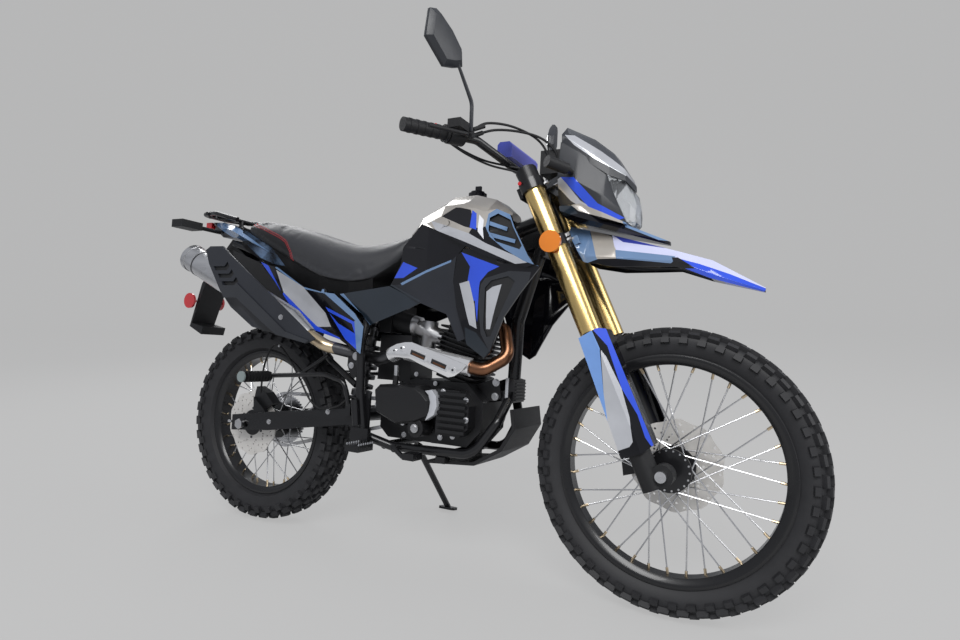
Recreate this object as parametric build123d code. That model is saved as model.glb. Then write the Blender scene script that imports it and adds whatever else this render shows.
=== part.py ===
from build123d import *
import os
from collections import namedtuple
from math import cos, pi, radians, sin

# Dual sport motorcycle, parked on its side stand.
# Every sub-part is modelled on the upright bike: +X forward, +Y left, +Z up, millimetres, with the
# rear tyre's contact below the rear axle at the origin. place() then leans the whole onto its stand
# and sets the origin below the middle of its bounding box.

# ---- Driving dimensions -------------------------------------------------------------------------
LEAN = 7.24                 # lean to the left on the side stand, degrees
WHEELBASE = 1351.0
RAKE = 25.2                 # steering axis from the vertical, degrees
AXLE_OFFSET = 50.0          # front axle ahead of the steering axis
LEG_OFFSET = 18.0           # fork legs ahead of the steering axis
LEG_Y = 107.0               # half the spacing of the fork legs
STEER_RANGE = 38.0          # degrees to each side
RUN_GAP = 0.3               # running gap between round pieces of different bodies
SEAT_GAP = 0.2              # gap between pieces bolted together on one body

Wheel = namedtuple("Wheel", "radius width rim_radius rim_floor rim_width hub_radius flange_radius "
                            "flange_y axle_radius")
FRONT = Wheel(349.0, 85.0, 279.0, 255.0, 56.0, 26.0, 53.0, 33.0, 7.5)
REAR = Wheel(327.0, 117.0, 241.0, 220.0, 72.0, 30.0, 62.0, 36.0, 8.5)
SPOKE_COUNT = 36
SPOKE_RADIUS = 1.9
SPOKE_CROSS = 6             # spoke holes between a spoke's two ends
RIM_WALL = 3.5
LUG_DEPTH = 9.0
BEAD_DEPTH = 11.0
Tread = namedtuple("Tread", "pitches centre_length shoulder_length crown")
FRONT_TREAD = Tread(34, 29.0, 34.0, 9.0)
REAR_TREAD = Tread(28, 31.0, 37.0, 11.0)

FORK_TUBE_RADIUS = 28.0
FORK_SLIDER_RADIUS = 20.5
FORK_TOP = 838.0            # heights along the fork, from the level of the front axle
FORK_TUBE_END = 372.0
CASTING_RADIUS = 27.0       # axle casting round the foot of each leg
FORK_FOOT = -24.0
HEAD_LOW, HEAD_HIGH = 640.0, 768.0
CLAMP_THICKNESS = 30.0

PIVOT = (466.0, 400.0)      # swingarm pivot, x and z
SPROCKET_SHAFT = (545.0, 410.0)
ARM_Y, ARM_WIDTH = 112.0, 26.0
CHAIN_Y, CHAIN_WIDTH = 75.0, 16.0
CHAIN_PITCH = 12.7
CHAIN_DEPTH = 12.0
TOOTH_DEPTH = 5.0
REAR_TEETH, FRONT_TEETH = 45, 15
FRONT_DISC_Y, REAR_DISC_Y = 60.0, -80.0
FRONT_DISC_RADIUS, REAR_DISC_RADIUS = 118.0, 108.0
DISC_THICKNESS = 4.0
SPROCKET_THICKNESS = 8.0
FRONT_SEATS = [(FRONT_DISC_Y - DISC_THICKNESS / 2 - SEAT_GAP, 38.0)]
REAR_SEATS = [(REAR_DISC_Y + DISC_THICKNESS / 2 + SEAT_GAP, 40.0),
              (CHAIN_Y - SPROCKET_THICKNESS / 2 - SEAT_GAP, 46.0)]

RAIL_RADIUS = 13.0
RAIL_Y = 105.0
PLATE_THICKNESS = 6.0       # swingarm pivot plates
UPRIGHT_Y = ARM_Y + ARM_WIDTH / 2 + SEAT_GAP + RAIL_RADIUS
STAND_PIVOT = Vector(528.0, 132.0, 282.0)
STAND_FOOT = Vector(530.0, 345.0, 44.0)
STAND_FOLDED = Vector(-0.975, 0.12, 0.10)

AXLE_F = Vector(WHEELBASE, 0, FRONT.radius)
AXLE_R = Vector(0, 0, REAR.radius)
UP = Vector(-sin(radians(RAKE)), 0, cos(radians(RAKE)))
AHEAD = Vector(cos(radians(RAKE)), 0, sin(radians(RAKE)))
STEER_FOOT = AXLE_F - AHEAD * AXLE_OFFSET


BACKBONE_RADIUS = 22.0
BACKBONE = [(640, 0, 872), (470, 0, 768)]
TANK_PAD = (800.0, 924.0)


# ---- Small helpers ------------------------------------------------------------------------------
def fork(height, ahead, y=0.0):
    """Point on the upright bike from a height up the fork and a distance ahead of the steering axis."""
    return STEER_FOOT + UP * height + AHEAD * ahead + Vector(0, y, 0)


def rod(start, end, radius):
    """Round bar from one point to another."""
    start, end = Vector(start), Vector(end)
    run = end - start
    plane = Plane(origin=start, z_dir=run)
    return extrude(plane * Circle(radius), amount=run.length)


def bar_y(x, z, low, high, radius):
    """Round bar along Y at one place of the side view."""
    return rod((x, low, z), (x, high, z), radius)


def tube(points, radius, bends):
    """Bent bar: straight runs joined by tangent arcs."""
    path = FilletPolyline([Vector(*p) for p in points], radius=bends)
    plane = Plane(origin=path @ 0, z_dir=path % 0)
    return sweep(plane * Circle(radius), path=path)


def slab(outline, low, high):
    """Plate parallel to the side view: an outline of (x, z) points, from y low to y high."""
    plane = Plane(origin=(0, low, 0), x_dir=(1, 0, 0), z_dir=(0, -1, 0))
    face = plane * Polygon(*[(x, z) for x, z in outline], align=None)
    return extrude(face, amount=high - low, dir=(0, 1, 0))


def block(x, y, z):
    """Box from its two limits along each axis."""
    size = (x[1] - x[0], y[1] - y[0], z[1] - z[0])
    return Pos((x[0] + x[1]) / 2, (y[0] + y[1]) / 2, (z[0] + z[1]) / 2) * Box(*size)


def fork_block(height, ahead, y):
    """Box square to the fork from its limits up the fork, ahead of the steering axis and across."""
    plane = Plane(origin=fork(height[0], ahead[0]), x_dir=AHEAD, z_dir=UP)
    face = Pos((ahead[1] - ahead[0]) / 2, (y[0] + y[1]) / 2) * Rectangle(ahead[1] - ahead[0], y[1] - y[0])
    return extrude(plane * face, amount=height[1] - height[0])


def panel(outline, x, y, yaw, thickness):
    """Plate from an outline of (x, z) points, standing at (x, y) and turned by yaw about the vertical."""
    a = radians(yaw)
    plane = Plane(origin=(x, y, 0), x_dir=(cos(a), sin(a), 0), z_dir=(sin(a), -cos(a), 0))
    face = plane * Polygon(*[((px - x) / cos(a), z) for px, z in outline], align=None)
    return extrude(face, amount=-thickness)


def mirrored(shape):
    """The same piece on the other side of the bike."""
    return mirror(shape, about=Plane.XZ)


def pair(shape):
    """A piece and its mirror image."""
    return [shape, mirrored(shape)]


def ruled(sections):
    """Body with flat panels between closed outlines of as many corners each."""
    faces = [make_face(Polyline(*points, close=True)) for points in sections]
    return loft(faces, ruled=True)


def form(rows):
    """Symmetric faceted body from rows of x and (z, half width) points from the bottom up."""
    sections = []
    for x, *levels in rows:
        right = [(x, -half, z) for z, half in levels]
        left = [(x, half, z) for z, half in reversed(levels)]
        sections.append(right + left)
    return ruled(sections)


def canopy(rows, wall):
    """The same body as a shell open below."""
    hollow = []
    for x, low, *levels in rows:
        inner = [(z - wall, half - wall) for z, half in levels[:-1]]
        top_z, top_half = levels[-1]
        foot = (low[0] - 40, low[1] - wall)
        hollow.append((x, foot, *inner, (top_z - wall, max(top_half - wall, 1.0))))
    ends = [(hollow[0][0] - 40, *hollow[0][1:])]
    return form(rows) - form(ends + hollow[:-1])


def skin(stations, wall):
    """Thin moulded panel ruled between stations of x and (z, y) points from the top."""
    sections = []
    for x, points in stations:
        outer = [(x, y, z) for z, y in points]
        inner = [(x, y - wall, z) for z, y in reversed(points)]
        sections.append(outer + inner)
    return ruled(sections)


def swept_skin(sides, levels, outset, wall):
    """Skin from (x, y) sides and the (z, step in y) levels they share."""
    return skin([(x, [(z, y + outset + step) for z, step in levels]) for x, y in sides], wall)


def prism(start, end, radius):
    """Six-sided bar from one point to another."""
    start, end = Vector(start), Vector(end)
    run = end - start
    return extrude(Plane(origin=start, z_dir=run) * RegularPolygon(radius, 6), amount=run.length)


def from_axle(shape):
    """A piece laid out ahead of the front axle, set in its place on the bike."""
    return Pos(WHEELBASE, 0, 0) * shape


def seated(boss, carrier):
    """A boss along +Y that ends just outside the piece that carries it."""
    return boss - Pos(0, SEAT_GAP, 0) * carrier


def polar(axle, radius, angle):
    """(x, z) at a radius and an angle up from straight ahead about an axle."""
    return axle.X + radius * cos(radians(angle)), axle.Z + radius * sin(radians(angle))


def sector(axle, radii, angles, low, high):
    """Block between two radii and two angles about an axle, from y low to y high."""
    middle = sum(angles) / 2
    outline = [polar(axle, radii[0], angles[0]), polar(axle, radii[1], angles[0]),
               polar(axle, radii[1], middle), polar(axle, radii[1], angles[1]),
               polar(axle, radii[0], angles[1]), polar(axle, radii[0], middle)]
    return slab(outline, low, high)


def turned(axle, profile):
    """Ring about an axle from an outline of (y, radius) points."""
    plane = Plane(origin=axle, x_dir=(0, 1, 0), z_dir=(1, 0, 0))
    face = plane * make_face(Polyline(*profile, close=True))
    return revolve(face, axis=Axis(axle, (0, 1, 0)))


def disc_y(axle, low, high, radius, bore=0.0):
    """Round plate about an axle between two values of y."""
    shape = rod(axle + Vector(0, low, 0), axle + Vector(0, high, 0), radius)
    if bore:
        shape -= rod(axle + Vector(0, low - 1, 0), axle + Vector(0, high + 1, 0), bore)
    return shape


# ---- Wheels -------------------------------------------------------------------------------------
def knob(axle, angle, outline, length):
    """Tread block: a (y, radius) outline carried round the tyre by its length."""
    a = radians(angle)
    along = Vector(sin(a), 0, -cos(a))
    plane = Plane(origin=axle - along * (length / 2), x_dir=(0, 1, 0), z_dir=along)
    return extrude(plane * Polygon(*outline, align=None), amount=length, dir=along)


def gon_ring(axle, stations, sides):
    """Body ruled between regular polygons about an axle, from (y, radius) stations."""
    faces = []
    for y, radius in stations:
        plane = Plane(origin=axle + Vector(0, y, 0), x_dir=(1, 0, 0), z_dir=(0, 1, 0))
        faces.append(plane * RegularPolygon(radius, sides))
    return loft(faces, ruled=True)


def tyre(axle, wheel, tread):
    """Knobbly tyre: a flat-banded carcass with a centre row and two shoulder rows of blocks."""
    seat = wheel.rim_width / 2 - RIM_WALL - SEAT_GAP
    bead = wheel.rim_radius - BEAD_DEPTH
    half = wheel.width / 2
    floor = wheel.radius - LUG_DEPTH
    widest = (wheel.rim_radius + wheel.radius) / 2
    crown, wall = (half * 0.6, floor - 3), (half - 4, widest)
    carcass = gon_ring(axle, [(-wall[0], wall[1]), (-crown[0], crown[1]), crown, wall], tread.pitches)
    carcass -= gon_ring(axle, [(-half - 1, bead), (half + 1, bead)], tread.pitches)
    slope = (wall[1] - 2 - wheel.rim_radius) / (wall[0] - seat)
    for side in (-1, 1):
        cone = [(side * seat, wheel.rim_radius + 1), (side * (half + 1), wheel.rim_radius + 1 + slope * (half + 1 - seat))]
        carcass -= gon_ring(axle, sorted(cone), tread.pitches)
    centre = [(-tread.crown, floor - 9), (-tread.crown, wheel.radius - 0.5), (tread.crown, wheel.radius - 0.5),
              (tread.crown, floor - 9)]
    shoulder = [(half * 0.5, floor - 12), (half * 0.5, wheel.radius - 3), (half * 0.72, wheel.radius - 6),
                (half, widest + 13), (half - 9, widest + 1)]
    pitch = 360 / tread.pitches
    blocks = []
    for k in range(tread.pitches):
        blocks.append(knob(axle, k * pitch, centre, tread.centre_length))
        for sign in (1, -1):
            outline = [(sign * y, r) for y, r in shoulder]
            blocks.append(knob(axle, (k + 0.5) * pitch, outline, tread.shoulder_length))
    return carcass + blocks


def spoked_rim(axle, wheel, seats):
    """Rim, hub with two flanges and crossed spokes. seats: (y, radius) of what bolts to the hub."""
    half = wheel.rim_width / 2
    well = half - 10
    deep = wheel.rim_radius - 13
    rim = turned(axle, [(-half, wheel.rim_radius), (-half, deep), (-well, wheel.rim_floor),
                        (well, wheel.rim_floor), (half, deep), (half, wheel.rim_radius),
                        (half - RIM_WALL, wheel.rim_radius), (half - RIM_WALL, deep),
                        (well - 3, wheel.rim_floor + RIM_WALL), (3 - well, wheel.rim_floor + RIM_WALL),
                        (RIM_WALL - half, deep), (RIM_WALL - half, wheel.rim_radius)])
    hub = disc_y(axle, -wheel.flange_y, wheel.flange_y, wheel.hub_radius)
    for y, radius in seats:
        hub += disc_y(axle, *sorted((y, 0.0)), radius)
    for flange in (-wheel.flange_y, wheel.flange_y):
        hub += disc_y(axle, flange - 3, flange + 3, wheel.flange_radius)
    crossing = 360 * SPOKE_CROSS / SPOKE_COUNT
    spokes = []
    for k in range(SPOKE_COUNT):
        flange = wheel.flange_y if k % 2 else -wheel.flange_y
        rim_angle = radians(360 * k / SPOKE_COUNT)
        lead = crossing if k % 4 < 2 else -crossing
        hub_angle = rim_angle + radians(lead)
        inner = wheel.flange_radius - 5
        start = axle + Vector(inner * cos(hub_angle), flange, inner * sin(hub_angle))
        outer = wheel.rim_floor + 1.5
        end = axle + Vector(outer * cos(rim_angle), flange * 0.12, outer * sin(rim_angle))
        spokes.append(prism(start, end, SPOKE_RADIUS))
    shape = rim + hub + spokes
    bore = wheel.axle_radius + RUN_GAP
    reach = wheel.flange_y + 60
    return shape - rod(axle - Vector(0, reach, 0), axle + Vector(0, reach, 0), bore)


def brake_disc(axle, y, radius, bore):
    """Wave disc: a scalloped ring with rows of holes."""
    low, high = y - DISC_THICKNESS / 2, y + DISC_THICKNESS / 2
    shape = disc_y(axle, low, high, radius, bore)
    lobes = 10
    scallop = radius * 0.22
    for k in range(lobes):
        a = 2 * pi * k / lobes
        reach = radius + scallop * 0.8
        centre = axle + Vector(reach * cos(a), 0, reach * sin(a))
        shape -= rod(centre + Vector(0, low - 1, 0), centre + Vector(0, high + 1, 0), scallop)
    return shape


def pitch_radius(teeth):
    return CHAIN_PITCH / (2 * sin(pi / teeth))


def sprocket(axle, y, teeth, bore):
    """Chain wheel whose teeth end just inside the chain's band of link plates."""
    tip = pitch_radius(teeth) - CHAIN_DEPTH / 2 - RUN_GAP
    root = tip - TOOTH_DEPTH
    outline = []
    for k in range(teeth):
        angle = 360 * k / teeth
        step = 360 / teeth
        outline += [polar(axle, root, angle - step * 0.2), polar(axle, root, angle + step * 0.2),
                    polar(axle, tip, angle + step * 0.44), polar(axle, tip, angle + step * 0.56)]
    shape = slab(outline, y - SPROCKET_THICKNESS / 2, y + SPROCKET_THICKNESS / 2)
    if bore:
        shape -= disc_y(axle, y - SPROCKET_THICKNESS, y + SPROCKET_THICKNESS, bore)
    return shape


# ---- Frame --------------------------------------------------------------------------------------
def frame_backbone():
    """Head tube, backbone and single downtube with its engine plate."""
    stem_bore = 17.0 + RUN_GAP
    head = rod(fork(HEAD_LOW, 0), fork(HEAD_HIGH, 0), 28)
    spine = tube([tuple(fork(730, -15)), *BACKBONE], BACKBONE_RADIUS, 90)
    down = tube([tuple(fork(690, -25)), (918, 0, 700), (914, 0, 505)], 18, 60)
    top, low = fork(745, -20), fork(660, -20)
    gusset = slab([(top.X, top.Z), (low.X, low.Z), (880, 890)], -5, 5)
    shape = head + spine + down + gusset
    shape += bar_y(*TANK_PAD, -BACKBONE_RADIUS - 4.7, BACKBONE_RADIUS + 4.7, 9)
    return shape - rod(fork(HEAD_LOW - 5, 0), fork(HEAD_HIGH + 5, 0), stem_bore)


def frame_cradle():
    """Lower rails from the downtube round under the engine and up to the seat."""
    rail = tube([(914, 22, 486), (905, RAIL_Y - 30, 420), (850, RAIL_Y, 330), (590, RAIL_Y, 322),
                 (508, UPRIGHT_Y, 350), (488, UPRIGHT_Y, 470), (480, UPRIGHT_Y, 612), (462, 68, 742)],
                RAIL_RADIUS, [20, 60, 40, 30, 60, 40])
    low = UPRIGHT_Y - RAIL_RADIUS
    plate = slab([(PIVOT[0] - 24, PIVOT[1] - 30), (520, 340), (520, 470), (480, 480),
                  (PIVOT[0] - 24, PIVOT[1] + 36)], low, low + PLATE_THICKNESS)
    rail += plate
    yoke = block((896, 932), (-36, 36), (474, 504))
    shape = rail + mirrored(rail) + yoke
    for x, z in ((560, 322), (790, 328)):
        shape += bar_y(x, z, -RAIL_Y, RAIL_Y, 11)
    shape += bar_y(462, 738, -95, 95, 12)
    return shape + stand_bracket()


SEAT_RAIL = [(449.6, 84, 740.2), (300, 84, 768), (90, 76, 858), (-170, 66, 940)]
SEAT_RAIL_RADIUS = 10.0


def on_rail(x):
    """Point of the seat rail's centre line at a distance along the bike."""
    for front, back in zip(SEAT_RAIL, SEAT_RAIL[1:]):
        if back[0] <= x <= front[0]:
            share = (front[0] - x) / (front[0] - back[0])
            return tuple(a + (b - a) * share for a, b in zip(front, back))


def rail_lug(x, high):
    """Boss from the outside of the seat rail out to a panel."""
    x, y, z = on_rail(x)
    return bar_y(x, z, y + SEAT_RAIL_RADIUS + SEAT_GAP, high, 7)


def subframe():
    """Seat rails and their braces, bolted to the main frame."""
    rail = tube(SEAT_RAIL, SEAT_RAIL_RADIUS, 80)
    brace = tube([(468, 134, 489), (330, 104, 560), (110, 80, 850)], 9, 60)
    shape = rail + brace
    shape += mirrored(rail) + mirrored(brace)
    for x, z in ((-150, 933), (300, 770)):
        shape += bar_y(x, z, -76, 76, 9)
    for x, y, low, high in ((140, 79, 838, 863.9), (276, 83, 782, 804.2), (-150, 40, 934, 951.1)):
        for side in (-y, y):
            shape += rod((x, side, low), (x, side, high), 8)
    return shape


def swingarm():
    arm_outline = [(PIVOT[0] + 24, PIVOT[1] + 24), (130, 378), (-48, 352), (-48, 302), (120, 318),
                   (PIVOT[0] + 24, PIVOT[1] - 22)]
    low, high = ARM_Y - ARM_WIDTH / 2, ARM_Y + ARM_WIDTH / 2
    arm = slab(arm_outline, low, high)
    shape = arm + mirrored(arm)
    shape += bar_y(*PIVOT, -ARM_Y, ARM_Y, 20)
    shape += bar_y(*PIVOT, -high, high, 9)
    shape += bar_y(378, 392, -ARM_Y, ARM_Y, 14)
    slot = block((-24, 24), (-ARM_Y - 20, ARM_Y + 20), (REAR.radius - 9, REAR.radius + 9))
    return shape - slot


def rear_shock():
    """Single damper with its coil spring."""
    top, foot = Vector(433.7, 0, 738), Vector(377, 0, 406.9)
    run = (top - foot).normalized()
    shape = rod(foot, top, 14)
    shape += rod(foot + run * 40, foot + run * 56, 33)
    shape += rod(top - run * 60, top - run * 40, 33)
    coils = 7
    step = (top - run * 60 - foot - run * 56) / coils
    for k in range(coils):
        middle = foot + run * 56 + step * (k + 0.5)
        shape += rod(middle - run * 5, middle + run * 5, 32)
    shape += bar_y(top.X, top.Z, -22, 22, 16)
    return shape


# ---- Engine -------------------------------------------------------------------------------------
ENGINE_Y = 88.0
COVER_Y = 152.0
CYLINDER_TILT = 14.0
RIB_COUNT, RIB_STEP = 7, 17.0
CASE_TOP = 520.0
SHIFT_SHAFT = (600.0, 385.0)


def engine_case():
    """Crankcase halves with the generator cover and the ribbed front cover."""
    outline = [(530, 372), (560, 345), (822, 345), (862, 392), (866, 470), (812, CASE_TOP),
               (640, CASE_TOP), (575, 500), (530, 450)]
    shape = slab(outline, -ENGINE_Y, 58)
    shape += block((850, 895.7), (-30, 30), (478, 500))
    shape += bar_y(*SPROCKET_SHAFT, 58, CHAIN_Y - 4.2, 11)
    shape += bar_y(*SHIFT_SHAFT, 58, 133.6, 7)
    generator = Vector(770, 0, 430)
    shape += disc_y(generator, 58, 118, 72)
    right = slab([(744, 376), (820, 376), (844, 400), (844, 460), (812, 500), (744, 500)],
                 -128, -ENGINE_Y)
    shape += right
    for k in range(RIB_COUNT):
        z = 384 + RIB_STEP * k
        shape += block((752, 838), (-138, -128), (z, z + RIB_STEP / 2))
    plate = [(778, 494), (806, 510), (870, 534), (890, 530), (898, 486), (874, 474), (820, 470)]
    for low in (-45, 39):
        shape += slab(plate, low, low + 6)
    return shape


CLUTCH = [(542, 482), (559, 499), (687, 505), (714, 489), (733, 469), (736, 422), (694, 402), (623, 392),
          (551, 420)]


def clutch_cover():
    """Cover over the clutch with its bevelled edge, the round boss and the screw lugs."""
    seat = -ENGINE_Y - SEAT_GAP
    bevel = [(638 + (x - 638) * 0.9, 450 + (z - 450) * 0.84) for x, z in CLUTCH]
    outer = Plane(origin=(0, -COVER_Y + 12, 0), x_dir=(1, 0, 0), z_dir=(0, -1, 0))
    shape = slab(CLUTCH, -COVER_Y + 12, seat)
    shape += loft([outer * Polygon(*CLUTCH, align=None), outer.offset(12) * Polygon(*bevel, align=None)],
                  ruled=True)
    shape += disc_y(Vector(690, 0, 388), -146, seat, 25) + disc_y(Vector(690, 0, 388), -150, -140, 14)
    for x, z in ((548, 440), (620, 498), (728, 452), (640, 396)):
        shape += bar_y(x, z, -COVER_Y + 18, seat, 8)
    return shape


def cylinder_plane():
    """Foot of the cylinder, square to its forward tilt."""
    tilt = radians(CYLINDER_TILT)
    return Plane(origin=(742, 0, 521), x_dir=(cos(tilt), 0, -sin(tilt)), z_dir=(sin(tilt), 0, cos(tilt)))


def engine_cylinder():
    """Finned barrel and head, tilted forward."""
    plane = cylinder_plane()
    shape = extrude(plane * RectangleRounded(118, 116, 20), amount=196)
    for k in range(11):
        level = plane.offset(12 + 13 * k)
        shape += extrude(level * RectangleRounded(156, 152, 24), amount=4)
    shape += extrude(plane.offset(196) * RectangleRounded(126, 112, 26), amount=26)
    return shape - block((600, 900), (-100, 100), (CASE_TOP - 60, CASE_TOP + SEAT_GAP))


def carburettor():
    """Carburettor, its rubber boots and the air box behind it."""
    shape = rod((598, -22, 668), (720, -10, 630), 25)
    shape += rod((520, -34, 690), (604, -22, 668), 33)
    shape += rod((634, -18, 600), (640, -18, 690), 24)
    shape += block((490, 535), (-70, 60), (650, 735))
    return shape - extrude(cylinder_plane() * Rectangle(157, 153), amount=240)


PIPE_RADIUS = 18.0
CANISTER_RADIUS = 44.0
SILENCER_FOOT, SILENCER_TAIL = Vector(322, -184, 628), Vector(-222, -192, 872)


def exhaust_pipe():
    """Header from the front of the head, back along the right side, to the silencer."""
    run = (SILENCER_TAIL - SILENCER_FOOT).normalized()
    points = [(850.6, -34, 686), (908, -66, 672), (934, -88, 600), (880, -124, 560), (620, -134, 600),
              (545, -116, 572), (474, -92, 574), tuple(SILENCER_FOOT - run * 70), tuple(SILENCER_FOOT)]
    return tube(points, PIPE_RADIUS, [24, 34, 34, 80, 60, 50, 40])


SHIELD_TILT = 8.7


def heat_shield():
    """Chromed half-round shield over the header."""
    start, end = Vector(846, -127.5, 565.5), Vector(640, -133.5, 597)
    run = (end - start).normalized()
    outer = rod(start, end, 25)
    inner = rod(start - run, end + run, PIPE_RADIUS + 2 * RUN_GAP)
    back = block((600, 900), (-127, -60), (500, 660))
    shape = outer - inner - back
    for k in (0.3, 0.62):
        middle = start + (end - start) * k
        slot_box = Box(44, 60, 12)
        shape -= Pos(middle.X, -160, middle.Z) * Rot(0, SHIELD_TILT, 0) * slot_box
    return shape


def silencer():
    """Tapered canister with its rolled end."""
    run = (SILENCER_TAIL - SILENCER_FOOT).normalized()
    length = (SILENCER_TAIL - SILENCER_FOOT).length
    foot = SILENCER_FOOT + run * SEAT_GAP
    plane = Plane(origin=foot, z_dir=run)
    cone = loft([plane * Circle(22), plane.offset(90) * Circle(CANISTER_RADIUS)])
    body = extrude(plane.offset(90) * Circle(CANISTER_RADIUS), amount=length - 110)
    rim = extrude(plane.offset(length - 20) * Circle(46), amount=16)
    bore = extrude(plane.offset(length - 40) * Circle(24), amount=60)
    return cone + body + rim - bore


SHIELD = [(-87, 884), (-67, 896), (-9, 895), (28, 867), (144, 789), (399, 617), (366, 603), (146, 644),
          (46, 703), (-8, 755), (-67, 839)]
SHIELD_BAND = [(-18, 780), (65, 780), (285, 635), (380, 612), (366, 604), (249, 624), (70, 732), (16, 731)]
SHIELD_SLOT = [(-45, 831), (5, 831), (17, 845), (28, 830), (16, 818), (-36, 818)]
SHIELD_SLOT_STEP = (22.0, -24.0)


def silencer_shield():
    """Moulded guard standing off the canister's outer side, with a raised band and three slots."""
    plate = slab(SHIELD, -246, -240)
    shape = plate + slab(SHIELD_BAND, -250, -245)
    for k in range(3):
        dx, dz = SHIELD_SLOT_STEP[0] * k, SHIELD_SLOT_STEP[1] * k
        shape -= slab([(x + dx, z + dz) for x, z in SHIELD_SLOT], -260, -230)
    run = SILENCER_TAIL - SILENCER_FOOT
    for k in (0.3, 0.62):
        seat = SILENCER_FOOT + run * k
        shape += bar_y(seat.X, seat.Z, -240.5, seat.Y - CANISTER_RADIUS - RUN_GAP, 8)
    return shape


def skid_plate():
    outline = [(958, 462), (966, 410), (930, 348), (850, 300), (700, 288), (700, 296), (846, 309),
               (922, 354), (956, 412), (948, 460)]
    shape = slab(outline, -92, 92)
    for low, high in ((85, 112), (-112, -85)):
        shape += block((740, 770), (low, high), (296, 313.4))
    return shape


# ---- Bodywork -----------------------------------------------------------------------------------
def fuel_tank():
    """Faceted tank, tunnelled for the backbone."""
    body = form([(598, (905, 60), (940, 84), (962, 60), (972, 30)),
                 (640, (880, 108), (932, 128), (985, 92), (1014, 44)),
                 (720, (862, 128), (940, 146), (1015, 104), (1053, 48)),
                 (790, (866, 128), (945, 148), (1018, 106), (1055, 48)),
                 (850, (890, 100), (950, 120), (1005, 86), (1040, 40)),
                 (896, (925, 44), (955, 54), (985, 44), (1002, 24))])
    tunnel = slab([(560, 780), (560, 866), (640, 904), (910, 986), (910, 780)],
                  -BACKBONE_RADIUS - 5, BACKBONE_RADIUS + 5)
    return body - tunnel


def fuel_cap():
    shape = rod((765, 0, 1055.2), (765, 0, 1072), 27) + rod((765, 0, 1072), (765, 0, 1078), 20)
    return shape + block((758, 776), (-4, 4), (1077, 1094))


SHROUD_SIDES = [(680, 149), (800, 166), (930, 188), (1060, 201)]
SHROUD_LEVELS = [(1005, -28), (925, 0), (835, -4), (700, -12), (585, -28)]
SHROUD_TOP = [(687, 957), (735, 976), (777, 998), (839, 991), (881, 976), (917, 980), (962, 960),
              (1023, 852), (1041, 829), (1020, 823), (889, 859), (823, 889), (729, 934)]
SHROUD_FOOT = [(812, 869), (826, 880), (890, 868), (1018, 833), (1056, 826), (1000, 760), (955, 700), (927, 640),
               (912, 605), (895, 592), (838, 625), (803, 723), (790, 794), (801, 865)]
VENT = [(901, 956), (925, 966), (967, 945), (1005, 877), (999, 868), (929, 891), (906, 920)]
VENT_FINS = [[(897, 938), (960, 916), (962, 925), (899, 948)], [(908, 905), (984, 884), (986, 893), (910, 915)]]
INTAKE = [(896, 775), (915, 793), (965, 803), (985, 790), (950, 720), (915, 650), (903, 648), (893, 670)]


def shroud_layer(outline, outset, wall):
    """A piece of the shroud's skin between two depths, cut to an outline."""
    return swept_skin(SHROUD_SIDES, SHROUD_LEVELS, outset, wall) & slab(outline, 0, 400)


def tank_shrouds():
    """Side covers of the tank: an upper wing with its vent and a lower wing with its intake."""
    upper = shroud_layer(SHROUD_TOP, 6, 9) - slab(VENT, 0, 400)
    for fin in VENT_FINS:
        upper += shroud_layer(fin, 4, 6)
    upper += shroud_layer(VENT, -1, 2.4)
    lower = shroud_layer(SHROUD_FOOT, -2, 6)
    recess = shroud_layer(INTAKE, 0, 5)
    back = shroud_layer(INTAKE, -6, 4)
    cover = upper + (lower - recess) + back
    for x, z in ((760, 952), (850, 955)):
        cover += seated(bar_y(x, z, 120, 162, 9), fuel_tank())
    return pair(cover)


PANEL_SIDES = [(550, 126), (600, 134), (700, 154), (830, 158)]
PANEL_LEVELS = [(965, -2), (900, 0), (800, -3), (735, -10), (615, -18)]
PANEL = [(605, 893), (672, 956), (729, 934), (823, 889), (807, 873), (795, 863), (788, 794), (801, 723),
         (828, 640), (806, 632), (767, 705), (674, 736), (560, 785), (579, 812), (600, 850)]
TAIL_SIDES = [(10, 117), (20, 118), (240, 138), (330, 145), (440, 156), (510, 163)]
TAIL_LEVELS = [(872, -4), (760, 0), (650, 0), (575, -2)]
TAIL_PANEL = [(20, 864), (60, 852), (106, 844), (236, 779), (327, 761), (375, 757), (464, 699), (503, 661),
              (496, 583), (484, 584), (409, 621), (299, 645), (176, 726), (100, 797)]
SIDE_COVER = [(378, 758), (560, 783), (672, 737), (640, 722), (500, 668), (466, 700)]


def side_panels():
    """Panel below the tank, glossy cover below the seat and the long panel back to the tail."""
    front = swept_skin(PANEL_SIDES, PANEL_LEVELS, 0, 5) & slab(PANEL, 0, 400)
    front += seated(bar_y(700, 885, 110, 152, 8), fuel_tank())
    cover = slab(SIDE_COVER, 123.6, 128.6) + rail_lug(430, 125)
    tail = swept_skin(TAIL_SIDES, TAIL_LEVELS, 0, 5) & slab(TAIL_PANEL, 0, 400)
    x, y, z = on_rail(330)
    tail += bar_y(x, z, 139.8, 144.6, 11) + rail_lug(330, 141)
    return pair(front) + pair(cover) + pair(tail)


def seat():
    """Long saddle, narrow at the tank."""
    return form([(-118, (985, 84), (1000, 100), (1014, 74), (1018, 40)),
                 (0, (935, 100), (975, 118), (1004, 88), (1010, 46)),
                 (140, (868, 108), (940, 128), (973, 98), (981, 50)),
                 (276, (806, 116), (895, 132), (931, 102), (939, 54)),
                 (391, (788, 112), (862, 124), (902, 94), (910, 50)),
                 (470, (800, 96), (870, 108), (910, 80), (918, 42)),
                 (540, (850, 70), (900, 88), (936, 64), (944, 34)),
                 (592, (905, 48), (935, 60), (958, 46), (965, 26))])


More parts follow.
